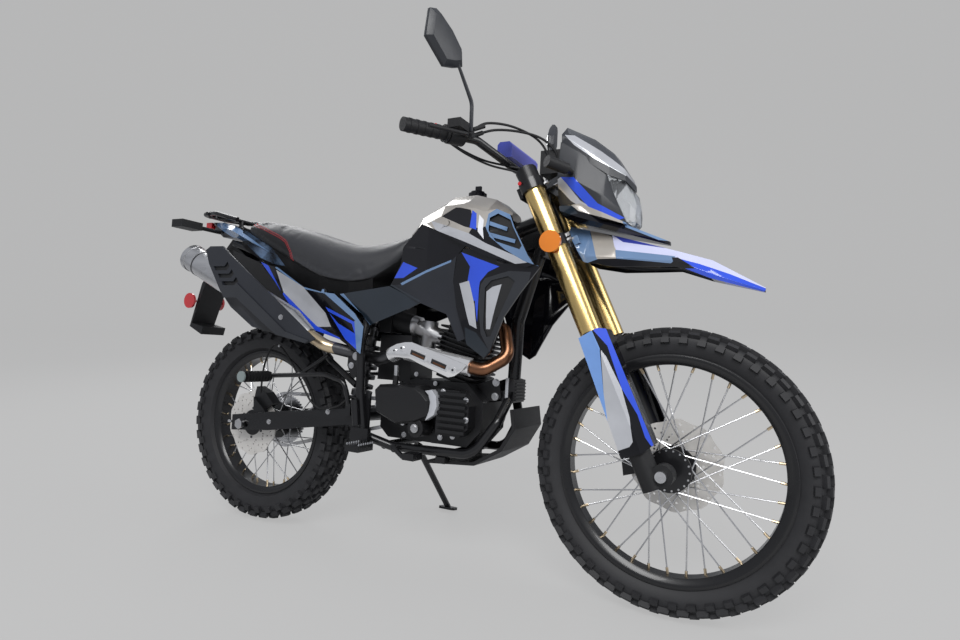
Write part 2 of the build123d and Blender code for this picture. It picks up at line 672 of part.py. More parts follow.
def tail_cover():
    """Tapered tail below the rack."""
    return form([(-330, (1012, 30), (1020, 36), (1030, 30)), (-250, (968, 50), (1002, 62), (1022, 50)),
                 (-170, (962, 60), (985, 84), (1002, 66)), (-122, (944, 60), (965, 90), (982, 70)),
                 (-60, (920, 60), (940, 96), (956, 74)), (60, (880, 60), (890, 98), (898, 76))])


RACK_BOSSES = [(x, y, z) for x, z in ((-180, 1027), (-290, 1047)) for y in (-60, 60)]
RACK_BOLT, RACK_BOSS_HEIGHT = 8.4, 18.0


def rear_rack():
    """Cast grab rail behind the seat, with four drilled bosses."""
    rail = tube([(-130, 96, 1018), (-240, 96, 1046), (-352, 60, 1054), (-352, 0, 1054)], 8, [30, 40])
    shape = rail + mirrored(rail)
    for x, z in ((-180, 1027), (-290, 1047)):
        shape += rod((x, -96, z), (x, 96, z), 7)
    for y in (-34, 34):
        shape += rod((-352, y, 1052), (-180, y, 1027), 7)
        shape += rod((-180, y, 1027), (-180, y, 1006.8), 8)
    half = Vector(0, 0, RACK_BOSS_HEIGHT / 2)
    for boss in RACK_BOSSES:
        shape += rod(Vector(*boss) - half, Vector(*boss) + half, 11)
    for boss in RACK_BOSSES:
        shape -= rod(Vector(*boss) - half * 2, Vector(*boss) + half * 2, RACK_BOLT / 2)
    return shape


def rear_fender():
    """Mudguard under the tail and the hanging plate holder."""
    guard = [(-200, 950), (-200, 940), (0, 800), (150, 730), (326, 690), (328, 700), (155, 740),
             (4, 812)]
    shape = slab(guard, -56, 56)
    plate = [(-330, 792), (-196, 944), (-200, 958), (-345, 800), (-395, 640), (-330, 612), (-322, 640),
             (-384, 652)]
    shape += slab(plate, -50, 50)
    shape += block((-170, -130), (-30, 30), (902, 923.7))
    return shape


def rear_lights():
    """Tail lamp, red reflector and the two rear turn signals."""
    lamp = block((-358, -330.3), (-40, 40), (1006, 1028))
    reflector = bar_y(-372, 734, 50.3, 62, 6) + bar_y(-386, 734, 60, 68, 28)
    signal = bar_y(-262, 985, 54.9, 150, 7) + block((-290, -236), (150, 230), (972, 998))
    return [lamp] + pair(reflector) + pair(signal)


# ---- Feet and rear brake ------------------------------------------------------------------------
def footpegs():
    """Rider pegs on the cradle and passenger pegs on their brackets."""
    inner = UPRIGHT_Y + RAIL_RADIUS + RUN_GAP
    rider = block((515, 562), (inner + 8, 226), (314, 332))
    rider += block((484, 545), (inner, inner + 15), (326, 372))
    plate_face = UPRIGHT_Y - RAIL_RADIUS + PLATE_THICKNESS
    passenger = bar_y(132, 492, 148, 258, 15)
    passenger += block((444, 462), (plate_face + RUN_GAP, plate_face + 16), (400, 434))
    passenger += tube([(452, 141, 428), (436, 150, 496), (360, 152, 514), (132, 152, 494)], 7, [30, 30])
    passenger += rod((262, 152, 505), (345, 124, 572), 6)
    return pair(rider) + pair(passenger)


def foot_controls():
    """Brake pedal with its master cylinder on the right, gear lever on the left."""
    pedal = bar_y(620, 323, -142, -RAIL_Y - RAIL_RADIUS - RUN_GAP, 10)
    pedal += tube([(620, -138, 323), (660, -147, 303), (704, -150, 314)], 7, 30)
    pedal += block((680, 716), (-186, -142), (306, 324))
    outside = -UPRIGHT_Y - RAIL_RADIUS - RUN_GAP - 11
    cylinder = rod((499, outside, 378), (488, outside, 450), 11)
    lever = bar_y(*SHIFT_SHAFT, 133.9, 148, 11)
    x, z = SHIFT_SHAFT
    lever += tube([(x, 142, z), (x + 60, 146, z - 33), (x + 116, 150, z - 55)], 6, 30)
    lever += bar_y(716, 330, 146, 190, 9)
    return [pedal, cylinder, lever]


def drive_chain():
    """Closed loop round both sprockets, as deep as its link plates."""
    big, small = pitch_radius(REAR_TEETH), pitch_radius(FRONT_TEETH)
    half = CHAIN_DEPTH / 2
    rear, front = AXLE_R, Vector(SPROCKET_SHAFT[0], 0, SPROCKET_SHAFT[1])

    def loop(grow):
        gap = front - rear
        plane = Plane(origin=(0, CHAIN_Y - CHAIN_WIDTH / 2, 0), x_dir=(1, 0, 0), z_dir=(0, -1, 0))
        normal_up = Vector(-gap.Z, 0, gap.X).normalized()
        along = gap.normalized()
        s = (big - small) / gap.length
        c = (1 - s * s) ** 0.5
        up = along * s + normal_up * c
        dn = along * s - normal_up * c
        a, b = rear + up * (big + grow), front + up * (small + grow)
        d, e = rear + dn * (big + grow), front + dn * (small + grow)
        back_mid, nose = rear - along * (big + grow), front + along * (small + grow)
        pts = [(v.X, v.Z) for v in (a, b, nose, e, d, back_mid)]
        a, b, nose, e, d, back_mid = pts
        wire = [Line(a, b), ThreePointArc(b, nose, e), Line(e, d), ThreePointArc(d, back_mid, a)]
        return extrude(plane * make_face(wire), amount=-CHAIN_WIDTH)

    return loop(half) - loop(-half)


def front_sprocket():
    shaft = Vector(SPROCKET_SHAFT[0], 0, SPROCKET_SHAFT[1])
    return sprocket(shaft, CHAIN_Y, FRONT_TEETH, 0)


def rear_caliper():
    """Caliper above the right arm, on the bracket that rests on the arm."""
    body = caliper(AXLE_R, REAR_DISC_Y, REAR_DISC_RADIUS, (36, 78), 36)
    reach = REAR_DISC_RADIUS - 14
    bracket = [(34, 364.4), (86, 372), polar(AXLE_R, reach, 36), polar(AXLE_R, reach, 72)]
    return body + slab(bracket, -112, -96)


def rear_axle():
    shape = bar_y(0, REAR.radius, -ARM_Y - 22, ARM_Y + 22, REAR.axle_radius)
    for y in (-ARM_Y - 13.2, ARM_Y + 13.2):
        side = 1 if y > 0 else -1
        shape += disc_y(AXLE_R, *sorted((y, y + side * 12)), 14)
    return shape


# ---- Steering -----------------------------------------------------------------------------------
STEM_RADIUS = 17.0
CLAMP_HIGH, CLAMP_LOW = HEAD_HIGH + 6, HEAD_LOW - 6 - CLAMP_THICKNESS
CLAMP_FRONT = 44.0


def fork_clamps():
    """Upper and lower triple clamp joined by the steering stem."""
    shape = rod(fork(CLAMP_LOW, 0), fork(CLAMP_HIGH + CLAMP_THICKNESS, 0), STEM_RADIUS)
    for level in (CLAMP_LOW, CLAMP_HIGH):
        shape += fork_block((level, level + CLAMP_THICKNESS), (-26, CLAMP_FRONT), (-LEG_Y, LEG_Y))
        for y in (-LEG_Y, LEG_Y):
            shape += rod(fork(level, LEG_OFFSET, y), fork(level + CLAMP_THICKNESS, LEG_OFFSET, y), 34)
    for y in (-LEG_Y, LEG_Y):
        bore = FORK_TUBE_RADIUS + SEAT_GAP
        shape -= rod(fork(CLAMP_LOW - 5, LEG_OFFSET, y), fork(FORK_TOP + 9, LEG_OFFSET, y), bore)
    return shape


def fork_tubes():
    """Gold outer tubes held by both clamps."""
    tubes = []
    for y in (-LEG_Y, LEG_Y):
        leg = rod(fork(FORK_TUBE_END, LEG_OFFSET, y), fork(FORK_TOP, LEG_OFFSET, y), FORK_TUBE_RADIUS)
        bore = FORK_SLIDER_RADIUS + SEAT_GAP
        leg -= rod(fork(FORK_TUBE_END - 1, LEG_OFFSET, y), fork(FORK_TUBE_END + 60, LEG_OFFSET, y), bore)
        tubes.append(leg)
    return tubes


def fork_sliders():
    """Inner tubes with the cast axle lugs."""
    sliders = []
    for side in (-1, 1):
        y = side * LEG_Y
        leg = rod(fork(-10, LEG_OFFSET, y), fork(FORK_TUBE_END + 58, LEG_OFFSET, y), FORK_SLIDER_RADIUS)
        leg += rod(fork(FORK_FOOT, LEG_OFFSET, y), fork(96, LEG_OFFSET, y), CASTING_RADIUS)
        lug = rod(fork(0, AXLE_OFFSET, side * 84), fork(0, AXLE_OFFSET, side * 128), 26)
        leg += lug
        leg -= rod(fork(0, AXLE_OFFSET, side * 60), fork(0, AXLE_OFFSET, side * 140),
                   FRONT.axle_radius + SEAT_GAP)
        sliders.append(leg)
    return sliders


GUARD_PROFILE = [(-20, 32.6), (30, 35), (60, 16), (64, -18), (59.5, -18), (55.5, 13), (28, 30), (-20, 28.2)]
GUARD_SIDE = [(66, -20), (62, 30), (74, 70), (358, 70), (372, 44), (366, -8)]


def fork_guards():
    """Moulded guards in front of and outside the inner tubes, bolted to the castings."""
    plane = Plane(origin=fork(GUARD_SIDE[0][0] - 10, 0), x_dir=AHEAD, z_dir=UP)
    profile = [(ahead, LEG_Y + y) for ahead, y in GUARD_PROFILE]
    shell = extrude(plane * Polygon(*profile, align=None), amount=340, dir=UP)
    side = [fork(height, ahead) for height, ahead in GUARD_SIDE]
    shell &= slab([(p.X, p.Z) for p in side], 0, 300)
    point = fork(86, LEG_OFFSET)
    shell += bar_y(point.X, point.Z, LEG_Y + CASTING_RADIUS + RUN_GAP, LEG_Y + 33, 8)
    return pair(shell)


def front_fender():
    """High fender with its peaked tip, hollow below, on a bracket at the lower clamp."""
    shell = canopy([(-281, (880, 58), (905, 64), (955, 30)), (-226, (854, 62), (870, 66), (942, 34)),
                    (-151, (842, 62), (866, 66), (924, 34)), (-61, (842, 56), (858, 60), (900, 28)),
                    (-1, (842, 48), (856, 52), (884, 22)), (79, (815, 34), (826, 38), (861, 16)),
                    (196, (786, 6), (789, 8), (797, 4))], 4)
    bracket = fork_block((CLAMP_LOW + 4, CLAMP_LOW + CLAMP_THICKNESS - 4),
                         (CLAMP_FRONT + SEAT_GAP, CLAMP_FRONT + 24), (-62, 62))
    return from_axle(shell) - behind_fork(CLAMP_FRONT + SEAT_GAP) + bracket


def behind_fork(ahead):
    """Space round the fork legs and clamps, as far ahead of the steering axis as is given."""
    return fork_block((440, 900), (-120, ahead), (-200, 200))


LENS_TOP, LENS_FOOT = (-183, 1086), (-125, 954)     # ahead of the front axle, and height


def ahead_of_lens(gap):
    """Space in front of the lens's edge, less a gap."""
    (x_top, z_top), (x_foot, z_foot) = LENS_TOP, LENS_FOOT
    lean = (x_foot - x_top) / (z_top - z_foot)
    over, under = 100, 60
    return from_axle(slab([(x_top - over * lean + gap, z_top + over), (x_foot + under * lean + gap, z_foot - under),
                           (x_foot + 300, z_foot - under), (x_foot + 300, z_top + over)], -200, 200))


def headlight_hood():
    return from_axle(form([(-303, (1000, 70), (1080, 92), (1172, 80)), (-251, (990, 84), (1060, 98), (1140, 82)),
                           (-181, (960, 84), (1020, 88), (1088, 72)), (-125, (950, 60), (975, 62), (1000, 50))]))


def headlight_beak():
    return from_axle(form([(-294, (975, 88), (985, 104), (998, 92)), (-241, (952, 80), (965, 102), (1000, 84)),
                           (-136, (930, 50), (938, 64), (954, 50)), (-26, (903, 8), (907, 10), (912, 6))]))


def headlight_shell():
    """Cheeks round the lamp, the beak below it and the stays to the upper clamp."""
    body = headlight_hood() - ahead_of_lens(0) + headlight_beak() - behind_fork(60)
    for low in (-70, 50):
        body += fork_block((CLAMP_HIGH + 6, CLAMP_HIGH + 24), (CLAMP_FRONT + RUN_GAP, 110), (low, low + 20))
    return body


def headlight_lens():
    """Bulging clear lens."""
    glass = from_axle(form([(-191, (990, 60), (1040, 76), (1086, 60)), (-151, (958, 60), (1020, 72), (1084, 52)),
                            (-119, (956, 50), (1005, 56), (1040, 40)), (-108, (960, 36), (985, 38), (1004, 26))]))
    return (glass & ahead_of_lens(RUN_GAP)) - Pos(0, 0, SEAT_GAP) * headlight_beak()


def windscreen():
    """Smoked screen over the lamp."""
    screen = from_axle(canopy([(-301, (1168, 78), (1192, 80), (1224, 40)), (-221, (1108, 80), (1136, 78), (1182, 40)),
                               (-171, (1074, 76), (1100, 70), (1142, 34)), (-131, (1060, 60), (1074, 56), (1082, 30))],
                              4))
    return screen - Pos(0, 0, SEAT_GAP) * headlight_hood() - Pos(0, 0, SEAT_GAP) * headlight_lens()


def dash():
    """Instrument box between the screen and the bars."""
    return from_axle(block((-366, -303 - SEAT_GAP), (-62, 62), (1096, 1160)))


BAR = [(-579, 402, 1139), (-483, 212, 1152), (-433, 92, 1112)]     # ahead of the front axle, out, height
BAR_RADIUS = 11.0


def handlebar():
    """Bent bar, its cross brace and its clamps."""
    side = [(x + WHEELBASE, y, z) for x, y, z in BAR]
    points = [(x, -y, z) for x, y, z in side] + [(x, y, z) for x, y, z in reversed(side)]
    shape = tube(points, BAR_RADIUS, 50)
    middle_x, middle_z = side[2][0], side[2][2]
    shape += rod((middle_x - 32, -160, 1136), (middle_x - 32, 160, 1136), 6)
    for y in (-36, 36):
        shape += rod(fork(CLAMP_HIGH, -8, y), (middle_x, y, middle_z), 16)
    seat_level = CLAMP_HIGH + CLAMP_THICKNESS + SEAT_GAP
    return shape - fork_block((CLAMP_HIGH - 30, seat_level), (-80, 80), (-80, 80))


def bar_pad():
    """Padded block on the cross brace."""
    profile = [(-483, 1142.3), (-439, 1142.3), (-439, 1176), (-447, 1186), (-476, 1186), (-483, 1178)]
    return from_axle(slab(profile, -92, 92))


def hand_controls():
    """Grips with their flanges, switch blocks, levers and the front master cylinder."""
    outer, inner = (Vector(x + WHEELBASE, y, z) for x, y, z in BAR[:2])
    run = (inner - outer).normalized()
    ahead = Vector(1, 0, 0)
    shape = rod(outer - run * 3, outer + run * 118, 17)
    for k in range(5):
        shape += rod(outer + run * (12 + 20 * k), outer + run * (18 + 20 * k), 18)
    shape += rod(outer + run * 114, outer + run * 122, 22)
    shape += rod(outer + run * 124, outer + run * 168, 24)
    shape += tube([tuple(outer + run * 160 + ahead * 20), tuple(outer + run * 120 + ahead * 60 + Vector(0, 0, -8)),
                   tuple(outer + run * 10 + ahead * 62 + Vector(0, 0, -8))], 5, 12)
    shape += rod(outer + run * 160, outer + run * 160 + ahead * 40, 9)
    cut = rod(outer - run * 1, inner + run * 20, BAR_RADIUS + SEAT_GAP)
    reservoir = Pos(*(outer + run * 118 + Vector(36, 0, 16))) * Box(36, 46, 22)
    return [shape - cut, mirrored(shape + reservoir - cut)]


MIRROR = Vector(-505, 360, 1348)        # middle of the left head, ahead of the front axle
MIRROR_YAW = 15.0
MIRROR_OUTLINE = [(-72, 75), (-45, 84), (20, 45), (76, -9), (81, -54), (45, -69), (0, -81), (-81, -15)]
PERCH = Vector(-475, 259, 1158.1)


def mirrors():
    """Faceted mirror heads on bent stems."""
    a = radians(MIRROR_YAW)
    plane = Plane(origin=MIRROR, x_dir=(sin(a), -cos(a), 0), z_dir=(cos(a), sin(a), 0))
    rim = [(u, -v) for u, v in MIRROR_OUTLINE]
    back = [(u * 0.78, v * 0.78) for u, v in rim]
    head = extrude(plane.offset(-8) * Polygon(*rim, align=None), amount=12, dir=plane.z_dir)
    head += loft([plane.offset(4) * Polygon(*rim, align=None), plane.offset(18) * Polygon(*back, align=None)],
                 ruled=True)
    ankle = MIRROR + Vector(sin(a), -cos(a), 0) * 62 + Vector(cos(a), sin(a), 0) * 4 + Vector(0, 0, -52)
    stem = tube([tuple(PERCH), tuple(PERCH + Vector(0, 4, 70)), tuple(ankle)], 5, 40)
    return pair(from_axle(head + stem))


def front_lights():
    """Front turn signals and amber reflectors."""
    signal = bar_y(-266, 1084, 80, 130, 8) + rod((-266, 126, 1084), (-301, 176, 1092), 15)
    signal = from_axle(signal) - Pos(0, SEAT_GAP, 0) * headlight_hood()
    level = CLAMP_LOW + CLAMP_THICKNESS / 2
    reflector = rod(fork(level, LEG_OFFSET, LEG_Y + 34.3), fork(level, LEG_OFFSET, LEG_Y + 44), 28)
    return pair(signal) + pair(reflector)


def caliper(axle, disc_y_place, radius, angles, thickness):
    """Caliper body round the edge of a disc."""
    body = sector(axle, (radius - 32, radius + 18), angles, disc_y_place - thickness / 2,
                  disc_y_place + thickness / 2)
    return body - disc_y(axle, disc_y_place - 6, disc_y_place + 6, radius + 6)


def front_caliper():
    """Caliper behind the left leg, on its bracket."""
    body = caliper(AXLE_F, FRONT_DISC_Y, FRONT_DISC_RADIUS, (160, 198), 36)
    reach = AXLE_OFFSET - FRONT_DISC_RADIUS - 8
    return body + fork_block((24, 60), (reach, LEG_OFFSET), (68, LEG_Y - CASTING_RADIUS - RUN_GAP))


def front_axle():
    shape = disc_y(AXLE_F, -130, 130, FRONT.axle_radius)
    return shape + disc_y(AXLE_F, 128.2, 140, 13) + disc_y(AXLE_F, -140, -128.2, 13)


# ---- Side stand ---------------------------------------------------------------------------------
def stand_axis():
    down = (STAND_FOOT - STAND_PIVOT).normalized()
    return down.cross(STAND_FOLDED.normalized()).normalized()


def stand_swing():
    down = (STAND_FOOT - STAND_PIVOT).normalized()
    return down.get_angle(STAND_FOLDED)


def side_stand():
    """Leg, foot and fork eye, down on the ground."""
    foot_up = Vector(0, sin(radians(LEAN)), cos(radians(LEAN)))
    plane = Plane(origin=STAND_FOOT, x_dir=(1, 0, 0), z_dir=foot_up)
    foot = extrude(plane * RectangleRounded(62, 40, 12), amount=8)
    ankle = STAND_FOOT + foot_up * 6
    shape = rod(STAND_PIVOT, ankle, 10) + foot
    axis = stand_axis()
    shape += rod(STAND_PIVOT - axis * 10.5, STAND_PIVOT + axis * 10.5, 17)
    return shape - rod(STAND_PIVOT - axis * 20, STAND_PIVOT + axis * 20, 5 + RUN_GAP)


def stand_bracket():
    """Pin and lug that carry the stand on the left rail."""
    axis = stand_axis()
    pin = rod(STAND_PIVOT - axis * 26, STAND_PIVOT + axis * 14, 5)
    lug = rod(STAND_PIVOT - axis * 26, STAND_PIVOT - axis * 11, 15)
    arm = rod((556, 72, 318), STAND_PIVOT - axis * 20, 6)
    return pin + lug + arm


# ---- Assembly -----------------------------------------------------------------------------------
def build():
    """Every node of the upright bike by name."""
    return {
        "frame_backbone": frame_backbone(),
        "frame_cradle": frame_cradle(),
        "subframe": subframe(),
        "swingarm": swingarm(),
        "rear_shock": rear_shock(),
        "engine_case": engine_case(),
        "clutch_cover": clutch_cover(),
        "engine_cylinder": engine_cylinder(),
        "carburettor": carburettor(),
        "exhaust_pipe": exhaust_pipe(),
        "heat_shield": heat_shield(),
        "silencer": silencer(),
        "silencer_shield": silencer_shield(),
        "skid_plate": skid_plate(),
        "fuel_tank": fuel_tank(),
        "fuel_cap": fuel_cap(),
        "tank_shrouds": tank_shrouds(),
        "side_panels": side_panels(),
        "seat": seat(),
        "tail_cover": tail_cover(),
        "rear_rack": rear_rack(),
        "rear_fender": rear_fender(),
        "rear_lights": rear_lights(),
        "footpegs": footpegs(),
        "foot_controls": foot_controls(),
        "drive_chain": drive_chain(),
        "front_sprocket": front_sprocket(),
        "rear_caliper": rear_caliper(),
        "rear_axle": rear_axle(),
        "fork_clamps": fork_clamps(),
        "fork_tubes": fork_tubes(),
        "fork_sliders": fork_sliders(),
        "fork_guards": fork_guards(),
        "front_fender": front_fender(),
        "headlight_shell": headlight_shell(),
        "headlight_lens": headlight_lens(),
        "windscreen": windscreen(),
        "dash": dash(),
        "handlebar": handlebar(),
        "bar_pad": bar_pad(),
        "hand_controls": hand_controls(),
        "mirrors": mirrors(),
        "front_lights": front_lights(),
        "front_caliper": front_caliper(),
        "front_axle": front_axle(),
        "front_tyre": tyre(AXLE_F, FRONT, FRONT_TREAD),
        "front_wheel": spoked_rim(AXLE_F, FRONT, FRONT_SEATS),
        "front_disc": brake_disc(AXLE_F, FRONT_DISC_Y, FRONT_DISC_RADIUS, 30),
        "rear_tyre": tyre(AXLE_R, REAR, REAR_TREAD),
        "rear_wheel": spoked_rim(AXLE_R, REAR, REAR_SEATS),
        "rear_disc": brake_disc(AXLE_R, REAR_DISC_Y, REAR_DISC_RADIUS, 30),
        "rear_sprocket": sprocket(AXLE_R, CHAIN_Y, REAR_TEETH, 30),
        "side_stand": side_stand(),
    }


def gathered(shape):
    """One shape from a piece or a list of pieces that don't touch."""
    if isinstance(shape, list):
        return Compound([solid for piece in shape for solid in piece.solids()])
    return shape


leaned = Rotation(-LEAN, 0, 0)
upright = {name: gathered(shape) for name, shape in build().items()}
parked = {name: leaned * shape for name, shape in upright.items()}
box = Compound([solid for shape in parked.values() for solid in shape.solids()]).bounding_box()
origin = Vector((box.min.X + box.max.X) / 2, (box.min.Y + box.max.Y) / 2, box.min.Z)


def place(point):
    """A point of the upright bike in the part's own frame."""
    return (leaned * Pos(*point)).position - origin


if __name__ == "__main__":
    os.makedirs("parts", exist_ok=True)
    for name, shape in parked.items():
        export_step(Pos(-origin) * shape, f"parts/{name}.step")
    print("nodes", len(parked), "size", box.size)
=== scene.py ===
# %% [markdown]
# # A dual sport motorcycle on its side stand
#
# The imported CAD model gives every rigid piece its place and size. This lesson dresses it: paint,
# rubber, bare metal and vinyl as node materials, and the pieces that want more than a CAD solid,
# such as knobbly tread, spokes with nipples, stitched vinyl and painted bodywork.

# %% Load the frame
import bmesh
import bpy
from math import cos, pi, radians, sin
from mathutils import Matrix, Vector
from mathutils.bvhtree import BVHTree


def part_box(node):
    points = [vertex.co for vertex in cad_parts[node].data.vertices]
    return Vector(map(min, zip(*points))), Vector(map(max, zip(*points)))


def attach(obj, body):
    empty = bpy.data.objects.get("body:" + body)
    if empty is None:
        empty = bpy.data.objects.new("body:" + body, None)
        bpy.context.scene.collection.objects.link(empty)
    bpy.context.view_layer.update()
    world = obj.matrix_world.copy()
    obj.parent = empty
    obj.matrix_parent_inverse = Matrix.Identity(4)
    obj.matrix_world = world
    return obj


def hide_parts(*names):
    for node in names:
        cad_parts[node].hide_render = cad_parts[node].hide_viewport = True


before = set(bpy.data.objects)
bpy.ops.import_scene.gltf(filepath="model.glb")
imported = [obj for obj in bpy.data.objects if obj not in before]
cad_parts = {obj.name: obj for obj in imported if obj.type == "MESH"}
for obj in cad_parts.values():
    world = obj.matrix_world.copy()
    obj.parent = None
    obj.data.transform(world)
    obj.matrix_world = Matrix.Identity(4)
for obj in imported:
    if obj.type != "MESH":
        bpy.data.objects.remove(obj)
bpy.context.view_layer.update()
scene = bpy.context.scene
scene.view_settings.view_transform = "Standard"

# %% [markdown]
# A motorcycle is easiest to think about standing upright, with its rear tyre touching the ground at
# the origin, the front ahead in +X and the rider's left in +Y. So pieces are made there, and one
# matrix leans them onto the side stand. The rear tyre's box says where it goes. Sizes are written in
# millimetres unless a comment says metres, and a Vector is a place in metres.

# %% From the upright bike to the frame
LEAN, RAKE = radians(7.24), radians(25.2)
WHEELBASE, FRONT_RADIUS, REAR_RADIUS = 1351, 349, 327
AXLE_LEAD = 50  # the front axle lies this far ahead of the steering axis


def mm(x, y, z):
    """A place from three numbers in millimetres."""
    return Vector((x / 1000, y / 1000, z / 1000))


REAR_AXLE, FRONT_AXLE = mm(0, 0, REAR_RADIUS), mm(WHEELBASE, 0, FRONT_RADIUS)
low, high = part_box("rear_tyre")
lean = Matrix.Rotation(-LEAN, 4, "X")
shift = (low + high) / 2 - lean @ REAR_AXLE
TO_FRAME = Matrix.Translation(shift) @ lean
TO_BIKE = TO_FRAME.inverted()
print("the upright bike's origin stands at", tuple(round(v, 4) for v in shift))

# %% [markdown]
# Every finish is the same small recipe: a soft cloud of a lighter and a darker tone, roughness that
# follows the cloud, and a fine grain as bump. What differs is the numbers, and those are what make
# paint, moulded plastic, cast metal or rubber. The pattern reads Object coordinates, which are real
# metres here, so a grain of 900 means about a millimetre on every piece.

# %% The recipe for a finish
FINISHES = {}
GRAIN_DEPTH = 0.0006  # in metres
SMOOTHEST = 0.02  # the least roughness
CLOUD_DETAIL, TONE_STOPS = 5, (0.3, 0.7)


def shader_node(tree, kind, **sockets):
    """A node with some of its sockets set; an underscore stands for a space."""
    made = tree.nodes.new("ShaderNode" + kind)
    for socket, value in sockets.items():
        made.inputs[socket.replace("_", " ")].default_value = value
    return made


def finish(name, color, rough, metal=0.0, tone=0.10, cloud=9.0, grain=700.0, bump=0.12,
           stretch=(1, 1, 1), wear=0.05, cells=False, **sockets):
    """A node material; sockets are set on the shader itself."""
    material = bpy.data.materials.new(name)
    material.use_nodes = True
    tree = material.node_tree
    shader = tree.nodes["Principled BSDF"]
    for socket, value in {"Metallic": metal, **sockets}.items():
        shader.inputs[socket.replace("_", " ")].default_value = value
    place = shader_node(tree, "TexCoord")
    turn = shader_node(tree, "Mapping", Scale=stretch)
    noise = shader_node(tree, "TexNoise", Scale=cloud, Detail=CLOUD_DETAIL)
    tones = shader_node(tree, "ValToRGB")
    for stop, factor, where in zip(tones.color_ramp.elements, (1 - tone, 1 + tone), TONE_STOPS):
        stop.position = where
        stop.color = [min(1, c * factor) for c in color] + [1]
    shine = shader_node(tree, "MapRange", To_Min=max(SMOOTHEST, rough - wear), To_Max=min(1, rough + wear))
    fine = shader_node(tree, "TexVoronoi" if cells else "TexNoise", Scale=grain)
    relief = shader_node(tree, "Bump", Strength=bump, Distance=GRAIN_DEPTH)
    for source, target in (
        (place.outputs["Object"], turn.inputs["Vector"]),
        (turn.outputs["Vector"], noise.inputs["Vector"]),
        (noise.outputs["Fac"], tones.inputs["Fac"]),
        (tones.outputs["Color"], shader.inputs["Base Color"]),
        (noise.outputs["Fac"], shine.inputs["Value"]),
        (shine.outputs["Result"], shader.inputs["Roughness"]),
        (turn.outputs["Vector"], fine.inputs["Vector"]),
        (fine.outputs["Distance" if cells else "Fac"], relief.inputs["Height"]),
        (relief.outputs["Normal"], shader.inputs["Normal"]),
    ):
        tree.links.new(source, target)
    FINISHES[name] = material
    return material


# %% [markdown]
# Black is never one black on a motorcycle: the frame is glossy enamel, the engine satin powder
# coat, the guards moulded plastic and the bodywork deep gloss under a clear coat. Lacquers have
# hardly any grain, and mouldings the fine cells of an etched tool.

# %% Blacks, greys and colours
def lacquer(name, color, rough, coat, bump=0.03, **more):
    """Paint under a clear coat."""
    finish(name, color, rough, bump=bump, Coat_Weight=coat, **more)


def moulding(name, color, rough, bump=0.15, level=0.4, **more):
    """Moulded plastic; level is how much it reflects."""
    finish(name, color, rough, grain=1600, bump=bump, cells=True, Specular_IOR_Level=level, **more)


finish("frame_black", (0.007, 0.007, 0.008), 0.28, bump=0.05, Specular_IOR_Level=0.4, Coat_Weight=0.2)
finish("engine_black", (0.009, 0.009, 0.010), 0.36, grain=1400, bump=0.2, Specular_IOR_Level=0.4)
# dull black for the vents, and painted shade in the slots, bolt sockets and hollows of the exhaust
finish("vent_black_and_shade", (0.010, 0.010, 0.011), 0.60, grain=1600, bump=0.3)
finish("pad_blue", (0.12, 0.13, 0.52), 0.45, grain=1500, bump=0.2)
moulding("plastic_black", (0.010, 0.010, 0.011), 0.46, bump=0.3, level=0.35)
moulding("plastic_grey", (0.026, 0.028, 0.033), 0.36)
moulding("slate_satin", (0.020, 0.022, 0.028), 0.38, tone=0.12)
lacquer("gloss_black", (0.004, 0.004, 0.006), 0.14, 0.25, bump=0.02, tone=0.2, Specular_IOR_Level=0.35)
lacquer("slate_gloss", (0.012, 0.018, 0.026), 0.12, 0.5)
lacquer("blue_paint", (0.022, 0.075, 0.62), 0.25, 0.5)
lacquer("blue_dark", (0.030, 0.045, 0.30), 0.30, 0.8)
lacquer("steel_blue", (0.13, 0.22, 0.38), 0.22, 1.0)
lacquer("sky_blue", (0.16, 0.31, 0.66), 0.25, 0.9, tone=0.12)
lacquer("white_paint", (0.78, 0.79, 0.83), 0.25, 0.8, tone=0.03)
lacquer("lavender_white", (0.56, 0.58, 0.78), 0.25, 0.8, tone=0.05)
lacquer("silver_paint", (0.52, 0.53, 0.56), 0.30, 0.8, metal=0.35, grain=2500, bump=0.06)
lacquer("beige_silver", (0.46, 0.43, 0.39), 0.30, 0.8, metal=0.35, grain=2500, bump=0.06)
print(len(FINISHES), "paints and plastics")

# %% [markdown]
# Metals take their look from roughness and direction. Brushed and drawn parts get a noise stretched
# along one axis; castings get a coarse grain; chrome gets hardly any.

# %% Metals
finish("gold_anodised", (0.80, 0.58, 0.24), 0.26, metal=1.0, tone=0.06, stretch=(6, 6, 0.6), bump=0.06)
finish("steel", (0.62, 0.62, 0.63), 0.28, metal=1.0, stretch=(1, 1, 6), bump=0.08)
finish("chrome", (0.82, 0.82, 0.83), 0.14, metal=0.75, tone=0.04, bump=0.02, cloud=6)
finish("aluminium", (0.52, 0.52, 0.53), 0.38, metal=1.0, grain=1500, bump=0.3)
finish("copper_pipe", (0.26, 0.125, 0.070), 0.32, metal=1.0, tone=0.35, cloud=14, bump=0.08)
finish("brass", (0.62, 0.50, 0.34), 0.30, metal=1.0, tone=0.05)
finish("disc_steel", (0.66, 0.64, 0.61), 0.42, metal=0.35, tone=0.08, bump=0.10)
finish("dark_steel", (0.10, 0.10, 0.105), 0.35, metal=1.0, grain=1200, bump=0.2)

# %% [markdown]
# Rubber and vinyl are dark and scatter light softly. The seat's vinyl has a leather grain of small
# cells, and a little sheen at grazing angles.

